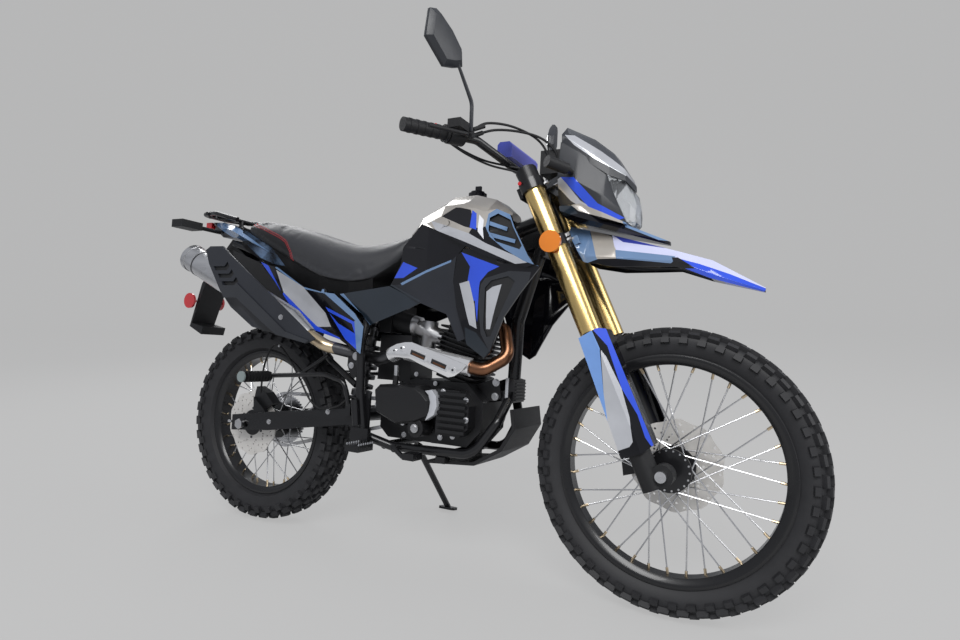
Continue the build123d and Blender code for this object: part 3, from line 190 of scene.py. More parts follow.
# %% Rubber, vinyl, lamps and glass
finish("tyre_rubber", (0.014, 0.014, 0.016), 0.62, tone=0.18, cloud=30, grain=900, bump=0.35)
finish("rubber", (0.009, 0.009, 0.010), 0.55, grain=1200, bump=0.3, Specular_IOR_Level=0.4)
finish("cap_grey", (0.20, 0.24, 0.24), 0.5, grain=1200, bump=0.2)
finish("vinyl", (0.022, 0.023, 0.027), 0.42, tone=0.06, grain=900, bump=0.45, cells=True, Sheen_Weight=0.15)
finish("vinyl_black", (0.006, 0.006, 0.007), 0.42, tone=0.06, grain=900, bump=0.45, cells=True)
finish("thread_red", (0.50, 0.020, 0.030), 0.55, grain=3000, bump=0.4)
finish("lamp_red", (0.50, 0.008, 0.012), 0.18, tone=0.05, grain=260, bump=0.3, cells=True, Coat_Weight=1.0)
finish("lamp_amber", (0.72, 0.20, 0.008), 0.20, tone=0.05, grain=260, bump=0.3, cells=True, Coat_Weight=1.0)
finish("lens_clear", (0.90, 0.93, 0.96), 0.05, tone=0.02, bump=0.01, Transmission_Weight=0.92, IOR=1.3)
finish("smoke_screen", (0.05, 0.055, 0.065), 0.07, tone=0.1, bump=0.01, Coat_Weight=1.0, Alpha=0.8)
finish("mirror_glass", (0.75, 0.78, 0.80), 0.03, metal=1.0, tone=0.02, bump=0.0)
print(len(FINISHES), "finishes in all")

# %% [markdown]
# A CAD node keeps its shape and only changes its coat. This table says which finish each one wears.

# %% Coats for the CAD nodes
COATS = {
    "frame_black": "frame_backbone frame_cradle subframe swingarm footpegs foot_controls fork_clamps "
                   "handlebar side_stand rear_rack",
    "engine_black": "engine_case clutch_cover engine_cylinder rear_caliper front_caliper",
    "plastic_black": "skid_plate rear_fender dash hand_controls fork_sliders",
    "plastic_grey": "silencer_shield mirrors windscreen headlight_shell",
    "gloss_black": "tank_shrouds side_panels tail_cover fuel_cap",
    "gold_anodised": "fork_tubes",
    "steel": "silencer front_disc rear_disc rear_sprocket front_sprocket drive_chain front_axle rear_axle",
    "chrome": "heat_shield",
    "copper_pipe": "exhaust_pipe",
    "aluminium": "carburettor",
    "dark_steel": "rear_shock front_wheel rear_wheel",
    "beige_silver": "fuel_tank",
    "steel_blue": "fork_guards front_fender",
    "vinyl": "seat",
    "blue_dark": "bar_pad",
    "lamp_red": "rear_lights",
    "lamp_amber": "front_lights",
    "lens_clear": "headlight_lens",
    "tyre_rubber": "front_tyre rear_tyre",
}
COAT_OF = {node: name for name, members in COATS.items() for node in members.split()}
for node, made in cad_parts.items():
    made.data.materials.clear()
    made.data.materials.append(FINISHES[COAT_OF.get(node, "plastic_black")])
print("no finish of its own:", sorted(set(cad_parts) - set(COAT_OF)))

# %% [markdown]
# Pieces made here all end the same way: normals outwards, leaned into the frame, smooth where the
# surface turns gently, and riding on a body of the CAD model. The rest of this cell is the small
# stock that the hardware is cut from: a turned ring, a rod, a block and a way to thicken a face.

# %% Finishing a piece, and stock to cut it from
WELD = 1e-6  # in metres: vertices this close are one


def placed(name, data):
    """A new object at the origin."""
    made = bpy.data.objects.new(name, data)
    scene.collection.objects.link(made)
    return made


def smooth_mesh(name, bm):
    """Ends a bmesh as a mesh with smooth faces."""
    mesh = bpy.data.meshes.new(name)
    bm.to_mesh(mesh)
    bm.free()
    for face in mesh.polygons:
        face.use_smooth = True
    return mesh


def piece(name, bm, body, finishes, replaces=(), smooth=30, recalc=True):
    """Turns a bmesh on the upright bike into an object of the frame, sharp past smooth degrees."""
    if recalc:
        bmesh.ops.recalc_face_normals(bm, faces=bm.faces)
    bm.transform(TO_FRAME)
    mesh = smooth_mesh(name, bm)
    for each in finishes:
        mesh.materials.append(FINISHES[each])
    mesh.set_sharp_from_angle(angle=radians(smooth))
    made = placed(name, mesh)
    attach(made, body)
    if replaces:
        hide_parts(*replaces)
    print(name, len(mesh.polygons), "faces")
    return made


def in_finish(verts, slot):
    """Gives the faces round some vertices one of their piece's finishes."""
    for face in {f for v in verts for f in v.link_faces}:
        face.material_index = slot


def turned(bm, profile, axle, steps):
    """Spins a closed profile of (y, radius) about a wheel's axle."""
    verts = [bm.verts.new(axle + mm(0, y, r)) for y, r in profile]
    edges = [bm.edges.new(pair) for pair in zip(verts, verts[1:] + verts[:1])]
    bmesh.ops.spin(bm, geom=verts + edges, cent=axle, axis=(0, 1, 0), angle=2 * pi, steps=steps,
                   use_merge=True)
    bmesh.ops.remove_doubles(bm, verts=bm.verts, dist=WELD)


def rod(bm, start, end, radius, sides=12, slot=0):
    """A capped cylinder between two places."""
    run = end - start
    turn = run.to_track_quat("Z", "Y").to_matrix().to_4x4()
    spot = Matrix.Translation((start + end) / 2) @ turn
    made = bmesh.ops.create_cone(bm, cap_ends=True, segments=sides, radius1=radius / 1000,
                                 radius2=radius / 1000, depth=run.length, matrix=spot)
    in_finish(made["verts"], slot)


def chunk(bm, matrix, size, taper=0.0, slot=0):
    """A block, narrowed towards its +Z face by taper."""
    made = bmesh.ops.create_cube(bm, size=1)["verts"]
    for v in made:
        shrink = 1 - taper * (v.co.z + 0.5)
        v.co = matrix @ mm(v.co.x * size[0] * shrink, v.co.y * size[1] * shrink, v.co.z * size[2])
    in_finish(made, slot)


def thickened(bm, faces, vec):
    """Gives flat faces a thickness, and returns the vertices of the new side."""
    grown = bmesh.ops.extrude_face_region(bm, geom=faces)["geom"]
    moved = [v for v in grown if isinstance(v, bmesh.types.BMVert)]
    bmesh.ops.translate(bm, verts=moved, vec=vec)
    return moved


# %% [markdown]
# ## Painted bodywork
# A dual sport's panels are black mouldings with graphics laid over them. A graphic is an outline in
# the side view. Planes through its edges cut a copy of the CAD panel, and the faces that end up
# inside take its paint, so every stripe has a crisp edge and both sides match.

# %% Laying graphics on a panel
NODE_WELD = 1e-5  # in metres
NEARLY_FLAT = radians(0.5)


def hand_of(place):
    """1 on the bike's left side and -1 on its right."""
    return 1 if place.y > 0 else -1


def inside(x, z, outline):
    """Whether a point of the side view lies inside an outline."""
    odd = False
    for (ax, az), (bx, bz) in zip(outline, outline[1:] + outline[:1]):
        if (az > z) != (bz > z) and x < ax + (z - az) * (bx - ax) / (bz - az):
            odd = not odd
    return odd


def outward(face):
    """How squarely a face looks out to its own side of the bike."""
    return face.normal.y * hand_of(face.calc_center_median())


def node_mesh(node):
    """A copy of a CAD node's mesh, back on the upright bike."""
    bm = bmesh.new()
    bm.from_mesh(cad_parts[node].data)
    bm.transform(TO_BIKE)
    bmesh.ops.remove_doubles(bm, verts=bm.verts, dist=NODE_WELD)
    bm.normal_update()
    return bm


def cut_along(bm, start, end, low, high, facing):
    """Cuts the faces near an outline's box with the plane through one of its edges."""
    near = set()
    for face in bm.faces:
        if outward(face) < facing:
            continue
        xs, zs = [v.co.x for v in face.verts], [v.co.z for v in face.verts]
        if max(xs) > low[0] and min(xs) < high[0] and max(zs) > low[1] and min(zs) < high[1]:
            near.update([face, *face.edges, *face.verts])
    (ax, az), (bx, bz) = start, end
    bmesh.ops.bisect_plane(bm, geom=list(near), dist=WELD, plane_co=(ax, 0, az),
                           plane_no=(bz - az, 0, ax - bx))


def paint(bm, names, graphics, facing):
    """Cuts (finish, outline) graphics into the faces that look outwards, both sides alike."""
    for each, outline in graphics:
        points = [(x / 1000, z / 1000) for x, z in outline]
        low = [min(p[k] for p in points) for k in (0, 1)]
        high = [max(p[k] for p in points) for k in (0, 1)]
        for start, end in zip(points, points[1:] + points[:1]):
            cut_along(bm, start, end, low, high, facing)
        bm.normal_update()
        for face in bm.faces:
            centre = face.calc_center_median()
            if outward(face) >= facing and inside(centre.x, centre.z, points):
                face.material_index = names.index(each)


def dress(name, node, body, base, graphics, facing=0.05, smooth=20):
    """Makes a piece from a copy of a CAD node with graphics painted on it."""
    bm = node_mesh(node)
    names = list(dict.fromkeys([base] + [each for each, _ in graphics]))
    paint(bm, names, graphics, facing)
    bmesh.ops.dissolve_limit(bm, angle_limit=NEARLY_FLAT, verts=bm.verts, edges=bm.edges,
                             delimit={"MATERIAL"})
    piece(name, bm, body, names, [node], smooth=smooth, recalc=False)


# %% [markdown]
# The tank's side covers carry the main graphic: a silver top edge, a black field, blue and white
# bands, and a silver swoosh that runs forward under the steel-blue vent.

# %% Tank shrouds
dress("tank_shrouds_painted", "tank_shrouds", "chassis", "gloss_black", [
    ("beige_silver", [(680, 950), (735, 985), (777, 1010), (839, 1000), (881, 985), (930, 985), (962, 960),
                      (894, 932), (850, 930), (840, 915), (774, 941), (725, 930)]),
    ("gloss_black", [(726, 979), (768, 1003), (831, 986), (863, 927), (825, 937)]),
    ("blue_paint", [(837, 984), (854, 973), (866, 925), (842, 934)]),
    ("white_paint", [(864, 969), (883, 952), (891, 899), (871, 920)]),
    ("silver_paint", [(700, 965), (774, 941), (841, 918), (898, 888), (983, 854), (1022, 834), (988, 832),
                      (885, 874), (819, 900), (725, 935)]),
    ("steel_blue", [(894, 968), (924, 984), (969, 962), (1029, 853), (1050, 826), (1013, 838), (957, 869),
                    (911, 903), (894, 932)]),
    ("vent_black_and_shade", [(901, 956), (925, 966), (967, 945), (1005, 877), (999, 868), (929, 891), (906, 920)]),
    ("steel_blue", [(897, 938), (960, 916), (962, 925), (899, 948)]),
    ("steel_blue", [(908, 905), (984, 884), (986, 893), (910, 915)]),
    ("blue_paint", [(815, 870), (938, 828), (904, 815), (879, 791), (869, 741), (855, 741), (838, 791),
                    (845, 831)]),
    ("silver_paint", [(811, 787), (843, 794), (863, 731), (871, 668), (847, 678)]),
    ("blue_paint", [(858, 793), (877, 793), (873, 685), (866, 730)]),
    ("slate_gloss", [(832, 671), (869, 658), (911, 612), (893, 592), (835, 625)]),
    ("plastic_grey", [(882, 783), (895, 799), (967, 816), (1030, 812), (1013, 742), (960, 705), (925, 640),
                      (912, 610), (884, 655), (876, 740)]),
    ("vent_black_and_shade", [(896, 775), (915, 793), (965, 803), (985, 790), (950, 720), (915, 650), (903, 648),
                    (893, 670)]),
    ("silver_paint", [(899, 765), (918, 777), (945, 783), (931, 735), (912, 668), (900, 668)]),
])

# %% [markdown]
# Behind it a black panel with a blue flash sits over a satin grey one. A glossy cover fills the
# triangle of the frame, and the long rear panel runs back under the seat with its slash of silver.
# Thin steel-blue lines along the top edges of the grey panel and of the rear panel are painted highlights.

# %% Side panels and tail
dress("side_panels_painted", "side_panels", "chassis", "gloss_black", [
    ("slate_satin", [(545, 785), (674, 730), (767, 700), (806, 625), (835, 635), (801, 723), (788, 794),
                     (795, 863), (779, 847), (613, 788)]),
    # a thin painted highlight along the grey panel's top edge
    ("steel_blue", [(600, 791), (779, 852), (779, 846), (606, 785)]),
    ("blue_paint", [(608, 852), (665, 832), (611, 806), (575, 806)]),
    ("slate_gloss", [(370, 750), (385, 765), (560, 790), (680, 740), (640, 715), (500, 664), (466, 700)]),
    ("steel_blue", [(327, 761), (390, 762), (464, 701), (508, 663), (500, 580), (469, 678)]),
    # a thin painted highlight along the rear panel's top edge
    ("steel_blue", [(96, 856), (236, 788), (330, 770), (330, 758), (236, 773), (96, 842)]),
    ("blue_paint", [(15, 868), (60, 850), (133, 767), (75, 800)]),
    ("silver_paint", [(100, 836), (236, 779), (343, 698), (371, 657), (310, 655), (284, 668), (147, 762)]),
    ("blue_paint", [(147, 762), (284, 673), (310, 657), (409, 626), (415, 616), (299, 641), (140, 745)]),
    ("blue_paint", [(341, 717), (465, 674), (486, 590), (432, 622)]),
    ("gloss_black", [(352, 704), (456, 668), (470, 640), (400, 668)]),
    ("steel_blue", [(465, 678), (503, 664), (500, 580), (480, 590)]),
])
dress("tail_cover_painted", "tail_cover", "chassis", "gloss_black", [
    ("steel_blue", [(-310, 1034), (-161, 1000), (41, 898), (94, 856), (45, 857), (-108, 926), (-290, 1012)]),
])
dress("silencer_shield_dressed", "silencer_shield", "chassis", "slate_satin", [
    ("plastic_grey", [(-18, 780), (65, 780), (285, 635), (385, 611), (366, 600), (249, 624), (70, 732),
                      (16, 731)]),
])

# %% [markdown]
# The high fender is steel blue where it meets the fork, then beige, then white over blue to the tip,
# and black below. The lamp's cheeks are satin grey, with a blue stripe running down to the beak, and
# a beige strip along the beak's top edge is a painted highlight.
# A graphic on the fork is easier to draw along it, so its points are a height above the axle and a
# distance ahead of the steering axis.

# %% Fender, headlamp mask and fork
EVERY_FACE = -2  # a facing that no face falls short of

dress("front_fender_painted", "front_fender", "steering", "gloss_black", [
    ("steel_blue", [(1060, 990), (1120, 990), (1127, 933), (1160, 862), (1123, 850), (1070, 940)]),
    ("beige_silver", [(1124, 945), (1183, 925), (1214, 862), (1156, 862)]),
    ("lavender_white", [(1183, 930), (1357, 900), (1350, 866), (1206, 880), (1196, 895)]),
    ("steel_blue", [(1200, 886), (1357, 868), (1338, 850), (1206, 862)]),
    ("blue_dark", [(1183, 930), (1345, 903), (1345, 888), (1215, 908)]),
    ("lavender_white", [(1345, 900), (1416, 890), (1481, 845), (1555, 800), (1544, 794), (1470, 826),
                        (1400, 850), (1345, 866)]),
    ("blue_paint", [(1350, 864), (1400, 851), (1470, 827), (1550, 794), (1544, 786), (1427, 816),
                    (1360, 842)]),
    ("gloss_black", [(1338, 866), (1352, 866), (1395, 838), (1350, 838)]),
], facing=-0.1)
dress("headlight_mask", "headlight_shell", "steering", "plastic_grey", [
    ("silver_paint", [(1030, 1062), (1057, 1074), (1072, 1058), (1112, 1010), (1140, 992), (1118, 990),
                      (1085, 1012), (1056, 1042)]),
    ("blue_paint", [(1057, 1074), (1094, 1070), (1158, 1000), (1222, 965), (1205, 958), (1135, 992)]),
    ("gloss_black", [(1040, 1003), (1112, 1002), (1217, 956), (1330, 915), (1330, 895), (1210, 925),
                     (1100, 948), (1040, 970)]),
    ("slate_gloss", [(1045, 1000), (1090, 1000), (1110, 974), (1080, 968), (1050, 985)]),
    # a painted highlight along the beak's top edge
    ("beige_silver", [(1086, 1001), (1112, 1003), (1217, 957), (1222, 950), (1110, 982)]),
    ("steel_blue", [(1217, 957), (1328, 913), (1300, 914), (1222, 944)]),
], facing=-0.1)
dress("windscreen_smoked", "windscreen", "steering", "smoke_screen", [
    ("plastic_grey", [(1040, 1240), (1062, 1200), (1085, 1188), (1152, 1138), (1224, 1083), (1230, 1040),
                      (1120, 1040), (1040, 1120)]),
    ("silver_paint", [(1056, 1192), (1077, 1194), (1152, 1144), (1226, 1086), (1219, 1074), (1143, 1118),
                      (1085, 1160)]),
], facing=-0.1)


def on_fork(places):
    """(height, ahead) along the fork as (x, z) of the side view."""
    foot_x, foot_z = WHEELBASE - AXLE_LEAD * cos(RAKE), FRONT_RADIUS - AXLE_LEAD * sin(RAKE)
    return [(foot_x - height * sin(RAKE) + ahead * cos(RAKE), foot_z + height * cos(RAKE) + ahead * sin(RAKE))
            for height, ahead in places]


dress("fork_guards_painted", "fork_guards", "steering", "gloss_black", [
    ("sky_blue", on_fork([(380, -30), (380, 30), (323, 32), (217, -1), (150, -18), (150, -30)])),
    ("silver_paint", on_fork([(318, 33), (300, 38), (217, 43), (148, 36), (93, 22), (85, 10), (85, -30),
                              (150, -18), (217, -1)])),
    ("blue_paint", on_fork([(380, 30), (380, 60), (60, 60), (60, 57), (93, 50), (148, 53), (217, 43),
                            (323, 49)])),
], facing=-0.4)
dress("fork_tubes_capped", "fork_tubes", "steering", "gold_anodised", [
    ("engine_black", on_fork([(803, -30), (850, -30), (850, 60), (803, 60)])),
], facing=EVERY_FACE, smooth=40)

# %% [markdown]
# Lamps keep their CAD shape: the turn signals are black housings, and only the reflectors and the
# tail lamp show colour. The cross brace's pad is blue foam with navy ends.

# %% Lamps and pad
dress("front_signals", "front_lights", "steering", "lamp_amber", [
    ("plastic_black", [(1000, 1040), (1150, 1040), (1150, 1130), (1000, 1130)]),
], facing=EVERY_FACE)
dress("rear_signals", "rear_lights", "chassis", "lamp_red", [
    ("plastic_black", [(-300, 960), (-230, 960), (-230, 1003), (-300, 1003)]),
], facing=EVERY_FACE)
dress("bar_pad_foam", "bar_pad", "steering", "pad_blue", [
    ("blue_dark", [(860, 1140), (920, 1140), (920, 1190), (860, 1190)]),
], facing=0.5)

# %% [markdown]
# Pressed and cast pieces have no knife edges. These take their CAD node's mesh and round what is
# sharp: the tank with a generous radius, the clutch cover and the mirrors with a small one. The
# mirror heads are also drawn in a little about their own middles, which leaves the stems alone.

# %% Rounded pieces
ROUNDED = {
    # node: name, body, finish, slot name, radius, segments, smallest angle in degrees
    "fuel_tank": ("fuel_tank_painted", "chassis", "beige_silver", "tank_silver", 9.0, 4, 7),
    "clutch_cover": ("clutch_cover_rounded", "chassis", "engine_black", "engine_black", 2.0, 3, 25),
    "mirrors": ("mirrors_rounded", "steering", "plastic_grey", "plastic_grey", 2.0, 2, 25),
}
MIRROR_SHRINK, MIRROR_FOOT, MIRROR_REACH = 0.76, 1250, 62.1
MIRROR_MIDDLE = mm(WHEELBASE - 505, 360, 1348)


def shrink_mirror_heads(bm):
    """Draws what is near a mirror's middle and above its foot towards that middle."""
    for v in bm.verts:
        middle = MIRROR_MIDDLE.copy()
        middle.y *= hand_of(v.co)
        if v.co.z * 1000 > MIRROR_FOOT and abs(v.co.x - middle.x) * 1000 < MIRROR_REACH:
            v.co = middle + (v.co - middle) * MIRROR_SHRINK


def rounded(node, name, body, coat, slot, radius, segments, least):
    """Makes a piece from a copy of a CAD node with its sharp edges rounded."""
    bm = node_mesh(node)
    if node == "mirrors":
        shrink_mirror_heads(bm)
    bmesh.ops.dissolve_limit(bm, angle_limit=radians(1), verts=bm.verts, edges=bm.edges)
    sharp = [e for e in bm.edges if len(e.link_faces) == 2 and e.calc_face_angle(0) > radians(least)]
    bmesh.ops.bevel(bm, geom=sharp, offset=radius / 1000, offset_type="OFFSET", segments=segments,
                    profile=0.5, affect="EDGES", clamp_overlap=True, material=-1)
    piece(name, bm, body, [coat], [node], smooth=35, recalc=False)


for node, row in ROUNDED.items():
    rounded(node, *row)

# %% [markdown]
# ## The saddle
# A motorcycle seat is foam under stretched vinyl. The cover is crowned and has no flat panel. It is
# laid up from cross sections, smoothed by subdivision, then blown up a little as cloth under air
# pressure, with the underside held.

# %% The shape of the saddle
SADDLE = [
    # x, then (z, half width) from the base to the top
    (-118, (985, 84), (1000, 100), (1014, 74), (1018, 40)),
    (0, (935, 100), (975, 118), (1004, 88), (1010, 46)),
    (140, (868, 108), (940, 128), (973, 98), (981, 50)),
    (276, (806, 116), (895, 132), (931, 102), (939, 54)),
    (391, (788, 112), (862, 124), (902, 94), (910, 50)),
    (470, (800, 96), (870, 108), (910, 80), (918, 42)),
    (540, (850, 70), (900, 88), (936, 64), (944, 34)),
    (592, (905, 48), (935, 60), (958, 46), (965, 26)),
]
HEM_HEIGHT, HEM_FLARE = 7, 3  # an extra row close above the base keeps its edge tight
SEAM = [(-96, 1008), (-75, 1006), (12, 978), (90, 948), (124, 930), (143, 900), (158, 862)]
REAR_SIDE = [(-140, 1030), *SEAM[1:], (140, 850), (60, 880), (-140, 960)]


def base_of_saddle(x):
    """Height of the seat's base at a distance along the bike."""
    for (a, (za, _), *_), (b, (zb, _), *_) in zip(SADDLE, SADDLE[1:]):
        if a <= x <= b:
            return za + (zb - za) * (x - a) / (b - a)
    return SADDLE[0][1][0] if x < 0 else SADDLE[-1][1][0]


def saddle_cage(bm):
    """Bridges the cross sections into a closed cage of quads."""
    rings = []
    for x, (foot, half), *upper in SADDLE:
        levels = [(foot, half), (foot + HEM_HEIGHT, half + HEM_FLARE), *upper]
        ring = [(-half, z) for z, half in levels] + [(half, z) for z, half in reversed(levels)]
        rings.append([bm.verts.new((x / 1000, y / 1000, z / 1000)) for y, z in ring])
    for a, b in zip(rings, rings[1:]):
        for k in range(len(a)):
            bm.faces.new((a[k], a[(k + 1) % len(a)], b[(k + 1) % len(b)], b[k]))
    for ring in (rings[0], rings[-1]):
        for k in range(4):
            bm.faces.new((ring[k], ring[k + 1], ring[8 - k], ring[9 - k]))
    bmesh.ops.recalc_face_normals(bm, faces=bm.faces)


# %% [markdown]
# The voxel remesh gives the cloth an even net. The air then works for a few frames, and what it does
# past a small cap is taken back, so the crown fills out and the outline stays. Plain black vinyl
# covers the rear flanks behind the seam, and everything near the base is the pan's plastic.

# %% Foam and vinyl
AIR_PRESSURE, AIR_FRAMES, AIR_CAP = 4, 20, 6
VOXEL = 6
UNDERSIDE, FLANK = -0.3, 0.25  # how far a normal looks down, and how far to a side
PAN_LIP = 12
FLANK_VINYL, PAN_PLASTIC = 1, 2


def blown_up(made, cap):
    """Swells a mesh as cloth under pressure, by no more than cap metres, and keeps its underside."""
    start = [v.co.copy() for v in made.data.vertices]
    held = [v.normal.z < UNDERSIDE for v in made.data.vertices]
    cloth = made.modifiers.new("air", "CLOTH")
    cloth.settings.use_pressure = True
    cloth.settings.uniform_pressure_force = AIR_PRESSURE
    cloth.settings.effector_weights.gravity = 0
    for step in range(1, AIR_FRAMES + 1):
        scene.frame_set(step)
    swollen = made.evaluated_get(bpy.context.evaluated_depsgraph_get()).data
    ends = [v.co.copy() for v in swollen.vertices]
    made.modifiers.remove(cloth)
    scene.frame_set(1)
    for v, a, b, stays in zip(made.data.vertices, start, ends, held):
        move = b - a
        if move.length > cap:
            move *= cap / move.length
        v.co = a if stays else a + move


def applied(made, kind, **settings):
    """Adds a modifier and makes its result the mesh."""
    modifier = made.modifiers.new(kind, kind)
    for key, value in settings.items():
        setattr(modifier, key, value)
    depsgraph = bpy.context.evaluated_depsgraph_get()
    mesh = bpy.data.meshes.new_from_object(made.evaluated_get(depsgraph))
    made.modifiers.clear()
    made.data = mesh


def saddle():
    """The swollen cover, with the finish of each face."""
    bm = bmesh.new()
    saddle_cage(bm)
    made = placed("saddle_cage", smooth_mesh("saddle_cage", bm))
    applied(made, "SUBSURF", levels=2, render_levels=2)
    applied(made, "REMESH", mode="VOXEL", voxel_size=VOXEL / 1000)
    blown_up(made, AIR_CAP / 1000)
    applied(made, "SMOOTH", factor=0.5, iterations=4)
    applied(made, "SUBSURF", levels=1, render_levels=1)
    bm = bmesh.new()
    bm.from_mesh(made.data)
    bpy.data.objects.remove(made)
    bm.normal_update()
    for face in bm.faces:
        centre = face.calc_center_median() * 1000
        if centre.z < base_of_saddle(centre.x) + PAN_LIP:
            face.material_index = PAN_PLASTIC
        elif abs(face.normal.y) > FLANK and inside(centre.x, centre.z, REAR_SIDE):
            face.material_index = FLANK_VINYL
    return bm


cover = saddle()
surface = BVHTree.FromBMesh(cover)
seat_piece = piece("saddle", cover, "chassis", ["vinyl", "vinyl_black", "plastic_black"], ["seat"], smooth=70,
                   recalc=False)

# %% [markdown]
# Below the cover the pan's skirts close the gap to the frame. Along the tail they show the steel
# blue of its cover, so they take a graphic like a panel does.

# %% The pan's skirts
PAN_DEPTH, PAN_INSET, PAN_SLANT, PAN_SHEET, PAN_SECTIONS = 74, 6, 2, 3, 6
TAIL_BLUE = [(-125, 992), (47, 914), (114, 852), (59, 860), (-14, 884), (-93, 932), (-125, 950)]


def skirt_edge(bm, hand, drop, inset):
    """A row of vertices under the cover's hem, from the tail to the saddle's middle."""
    return [bm.verts.new(mm(x, hand * (half - inset), z - drop))
            for x, (z, half), *_ in SADDLE[:PAN_SECTIONS]]


pan = bmesh.new()
for hand in (-1, 1):
    top = skirt_edge(pan, hand, -PAN_LIP, PAN_INSET)
    foot = skirt_edge(pan, hand, PAN_DEPTH - PAN_LIP, PAN_INSET + PAN_SLANT)
    for k in range(len(top) - 1):
        pan.faces.new((top[k], top[k + 1], foot[k + 1], foot[k]))
bmesh.ops.solidify(pan, geom=list(pan.faces), thickness=PAN_SHEET / 1000)
bmesh.ops.recalc_face_normals(pan, faces=list(pan.faces))
paint(pan, ["plastic_black", "steel_blue"], [("steel_blue", TAIL_BLUE)], 0.05)
piece("saddle_base", pan, "chassis", ["plastic_black", "steel_blue"], smooth=1)

# %% [markdown]
# The red double seam goes on last, stitch by stitch. Points at every pitch along the seam's line are
# dropped onto the cover from the side, and each gets a short thread that follows the surface.

# %% The seam
STITCH_PITCH, STITCH_HALF, THREAD_RADIUS, SEAM_HALF = 8, 2.7, 1.0, 3
OUTSIDE = 300  # a y beyond the saddle's side


def along(points, step, shift):
    """Points every step along a polyline of the side view, moved square to it by shift."""
    out = []
    left = 0.0
    for a, b in zip(points, points[1:]):
        a, b = Vector(a), Vector(b)
        run = b - a
        square = Vector((-run.y, run.x)).normalized() * shift
        while left < run.length:
            out.append((a + run * (left / run.length) + square, run.normalized()))
            left += step
        left -= run.length
    return out


stitches = bmesh.new()
for hand in (-1, 1):
    for side in (-SEAM_HALF, SEAM_HALF):
        for spot, run in along(SEAM, STITCH_PITCH, side):
            hit, normal, *_ = surface.ray_cast(mm(spot.x, hand * OUTSIDE, spot.y), Vector((0, -hand, 0)))
            if hit is None:
                continue
            thread = Vector((run.x, 0, run.y))
            thread = (thread - normal * thread.dot(normal)).normalized() * STITCH_HALF / 1000
            rod(stitches, hit - thread, hit + thread, THREAD_RADIUS, 6)
piece("saddle_stitching", stitches, "chassis", ["thread_red"])

# %% [markdown]
# ## Tyres
# An off-road tyre is a smooth carcass with separate rubber blocks. The carcass is a profile spun
# about the axle. The blocks stand in four rows on each side, two on the crown, one on the shoulder
# and one low on the wall, and every other row is moved on by half a pitch. Each is a tapered cube
# set square to the curve below it.

# %% Tyres with separate knobs
WHEELS = {
    "front": dict(radius=FRONT_RADIUS, width=85, rim=279, floor=255, rim_width=56, hub=26, flange=53,
                  flange_y=33, axle_radius=7.5, axle=FRONT_AXLE, pitches=46),
    "rear": dict(radius=REAR_RADIUS, width=117, rim=241, floor=220, rim_width=72, hub=30, flange=62,
                 flange_y=36, axle_radius=8.5, axle=REAR_AXLE, pitches=38),
}
KNOBS = [
    # share of half width, drop of the face, share of pitch, share of half width across, tilt in
    # degrees, phase, height
    (0.17, 1.2, 0.55, 0.25, 6, 0.0, 11), (0.52, 3.2, 0.50, 0.26, 20, 0.5, 12),
    (0.83, 11.5, 0.62, 0.25, 44, 0.0, 13), (0.95, 30.0, 0.46, 0.34, 74, 0.5, 9),
]
TREAD_DEPTH, KNOB_TAPER, LEFT_PHASE, BEAD, ROUND_STEPS = 10, 0.14, 0.25, 3.8, 120


def tyre(radius, width, rim, rim_width, axle, pitches, **_):
    """A carcass from bead to bead, and its rows of blocks."""
    seat, half = rim_width / 2 - BEAD, width / 2
    crown, wide = radius - TREAD_DEPTH, (rim + radius) / 2 - 4
    side = [(seat, rim - 10), (seat, rim + 2), (half - 13, rim + 10), (half - 7, wide - 8),
            (half - 5.5, wide + 6), (half - 8, wide + 14), (half * 0.66, crown - 7),
            (half * 0.34, crown - 1.5)]
    bm = bmesh.new()
    turned(bm, [*side, (0, crown), *[(-y, r) for y, r in reversed(side)]], axle, ROUND_STEPS)
    pitch = 2 * pi * radius / pitches
    for k in range(pitches):
        for share, fall, length, across, tilt, phase, height in KNOBS:
            for hand in (-1, 1):
                angle = 2 * pi * (k + phase + (LEFT_PHASE if hand > 0 else 0)) / pitches
                spot = (Matrix.Translation(axle) @ Matrix.Rotation(angle, 4, "Y")
                        @ Matrix.Translation(mm(0, hand * share * half, radius - fall - height / 2))
                        @ Matrix.Rotation(radians(-hand * tilt), 4, "X"))
                chunk(bm, spot, (pitch * length, across * half, height), KNOB_TAPER)
    return bm


for name, sizes in WHEELS.items():
    piece(f"{name}_tyre_tread", tyre(**sizes), f"{name}_wheel", ["tyre_rubber"], [f"{name}_tyre"])

# %% [markdown]
# ## Spoked wheels
# A laced wheel is a thin rolled rim, a hub with two flanges and spokes that leave each flange to
# the left and to the right in turn, so that they cross. At the rim each ends in a brass nipple, and
# on the flange each has a bright head.

# %% Rims, hubs, spokes and nipples
SPOKES, SPOKE_RADIUS, SPOKE_SWEEP = 36, 1.9, radians(60)
HEAD_RADIUS, HEAD_HEIGHT, LACING_INSET = 2.6, 1.2, 5
NIPPLE_RADIUS, NIPPLE_INSIDE, NIPPLE_OUTSIDE = 3.4, 16, 4
RIM_OFFSET = 0.12  # share of the flange's y at which a spoke reaches the rim
HUB_STEPS = 72
BRIGHT, BRASS = 1, 2


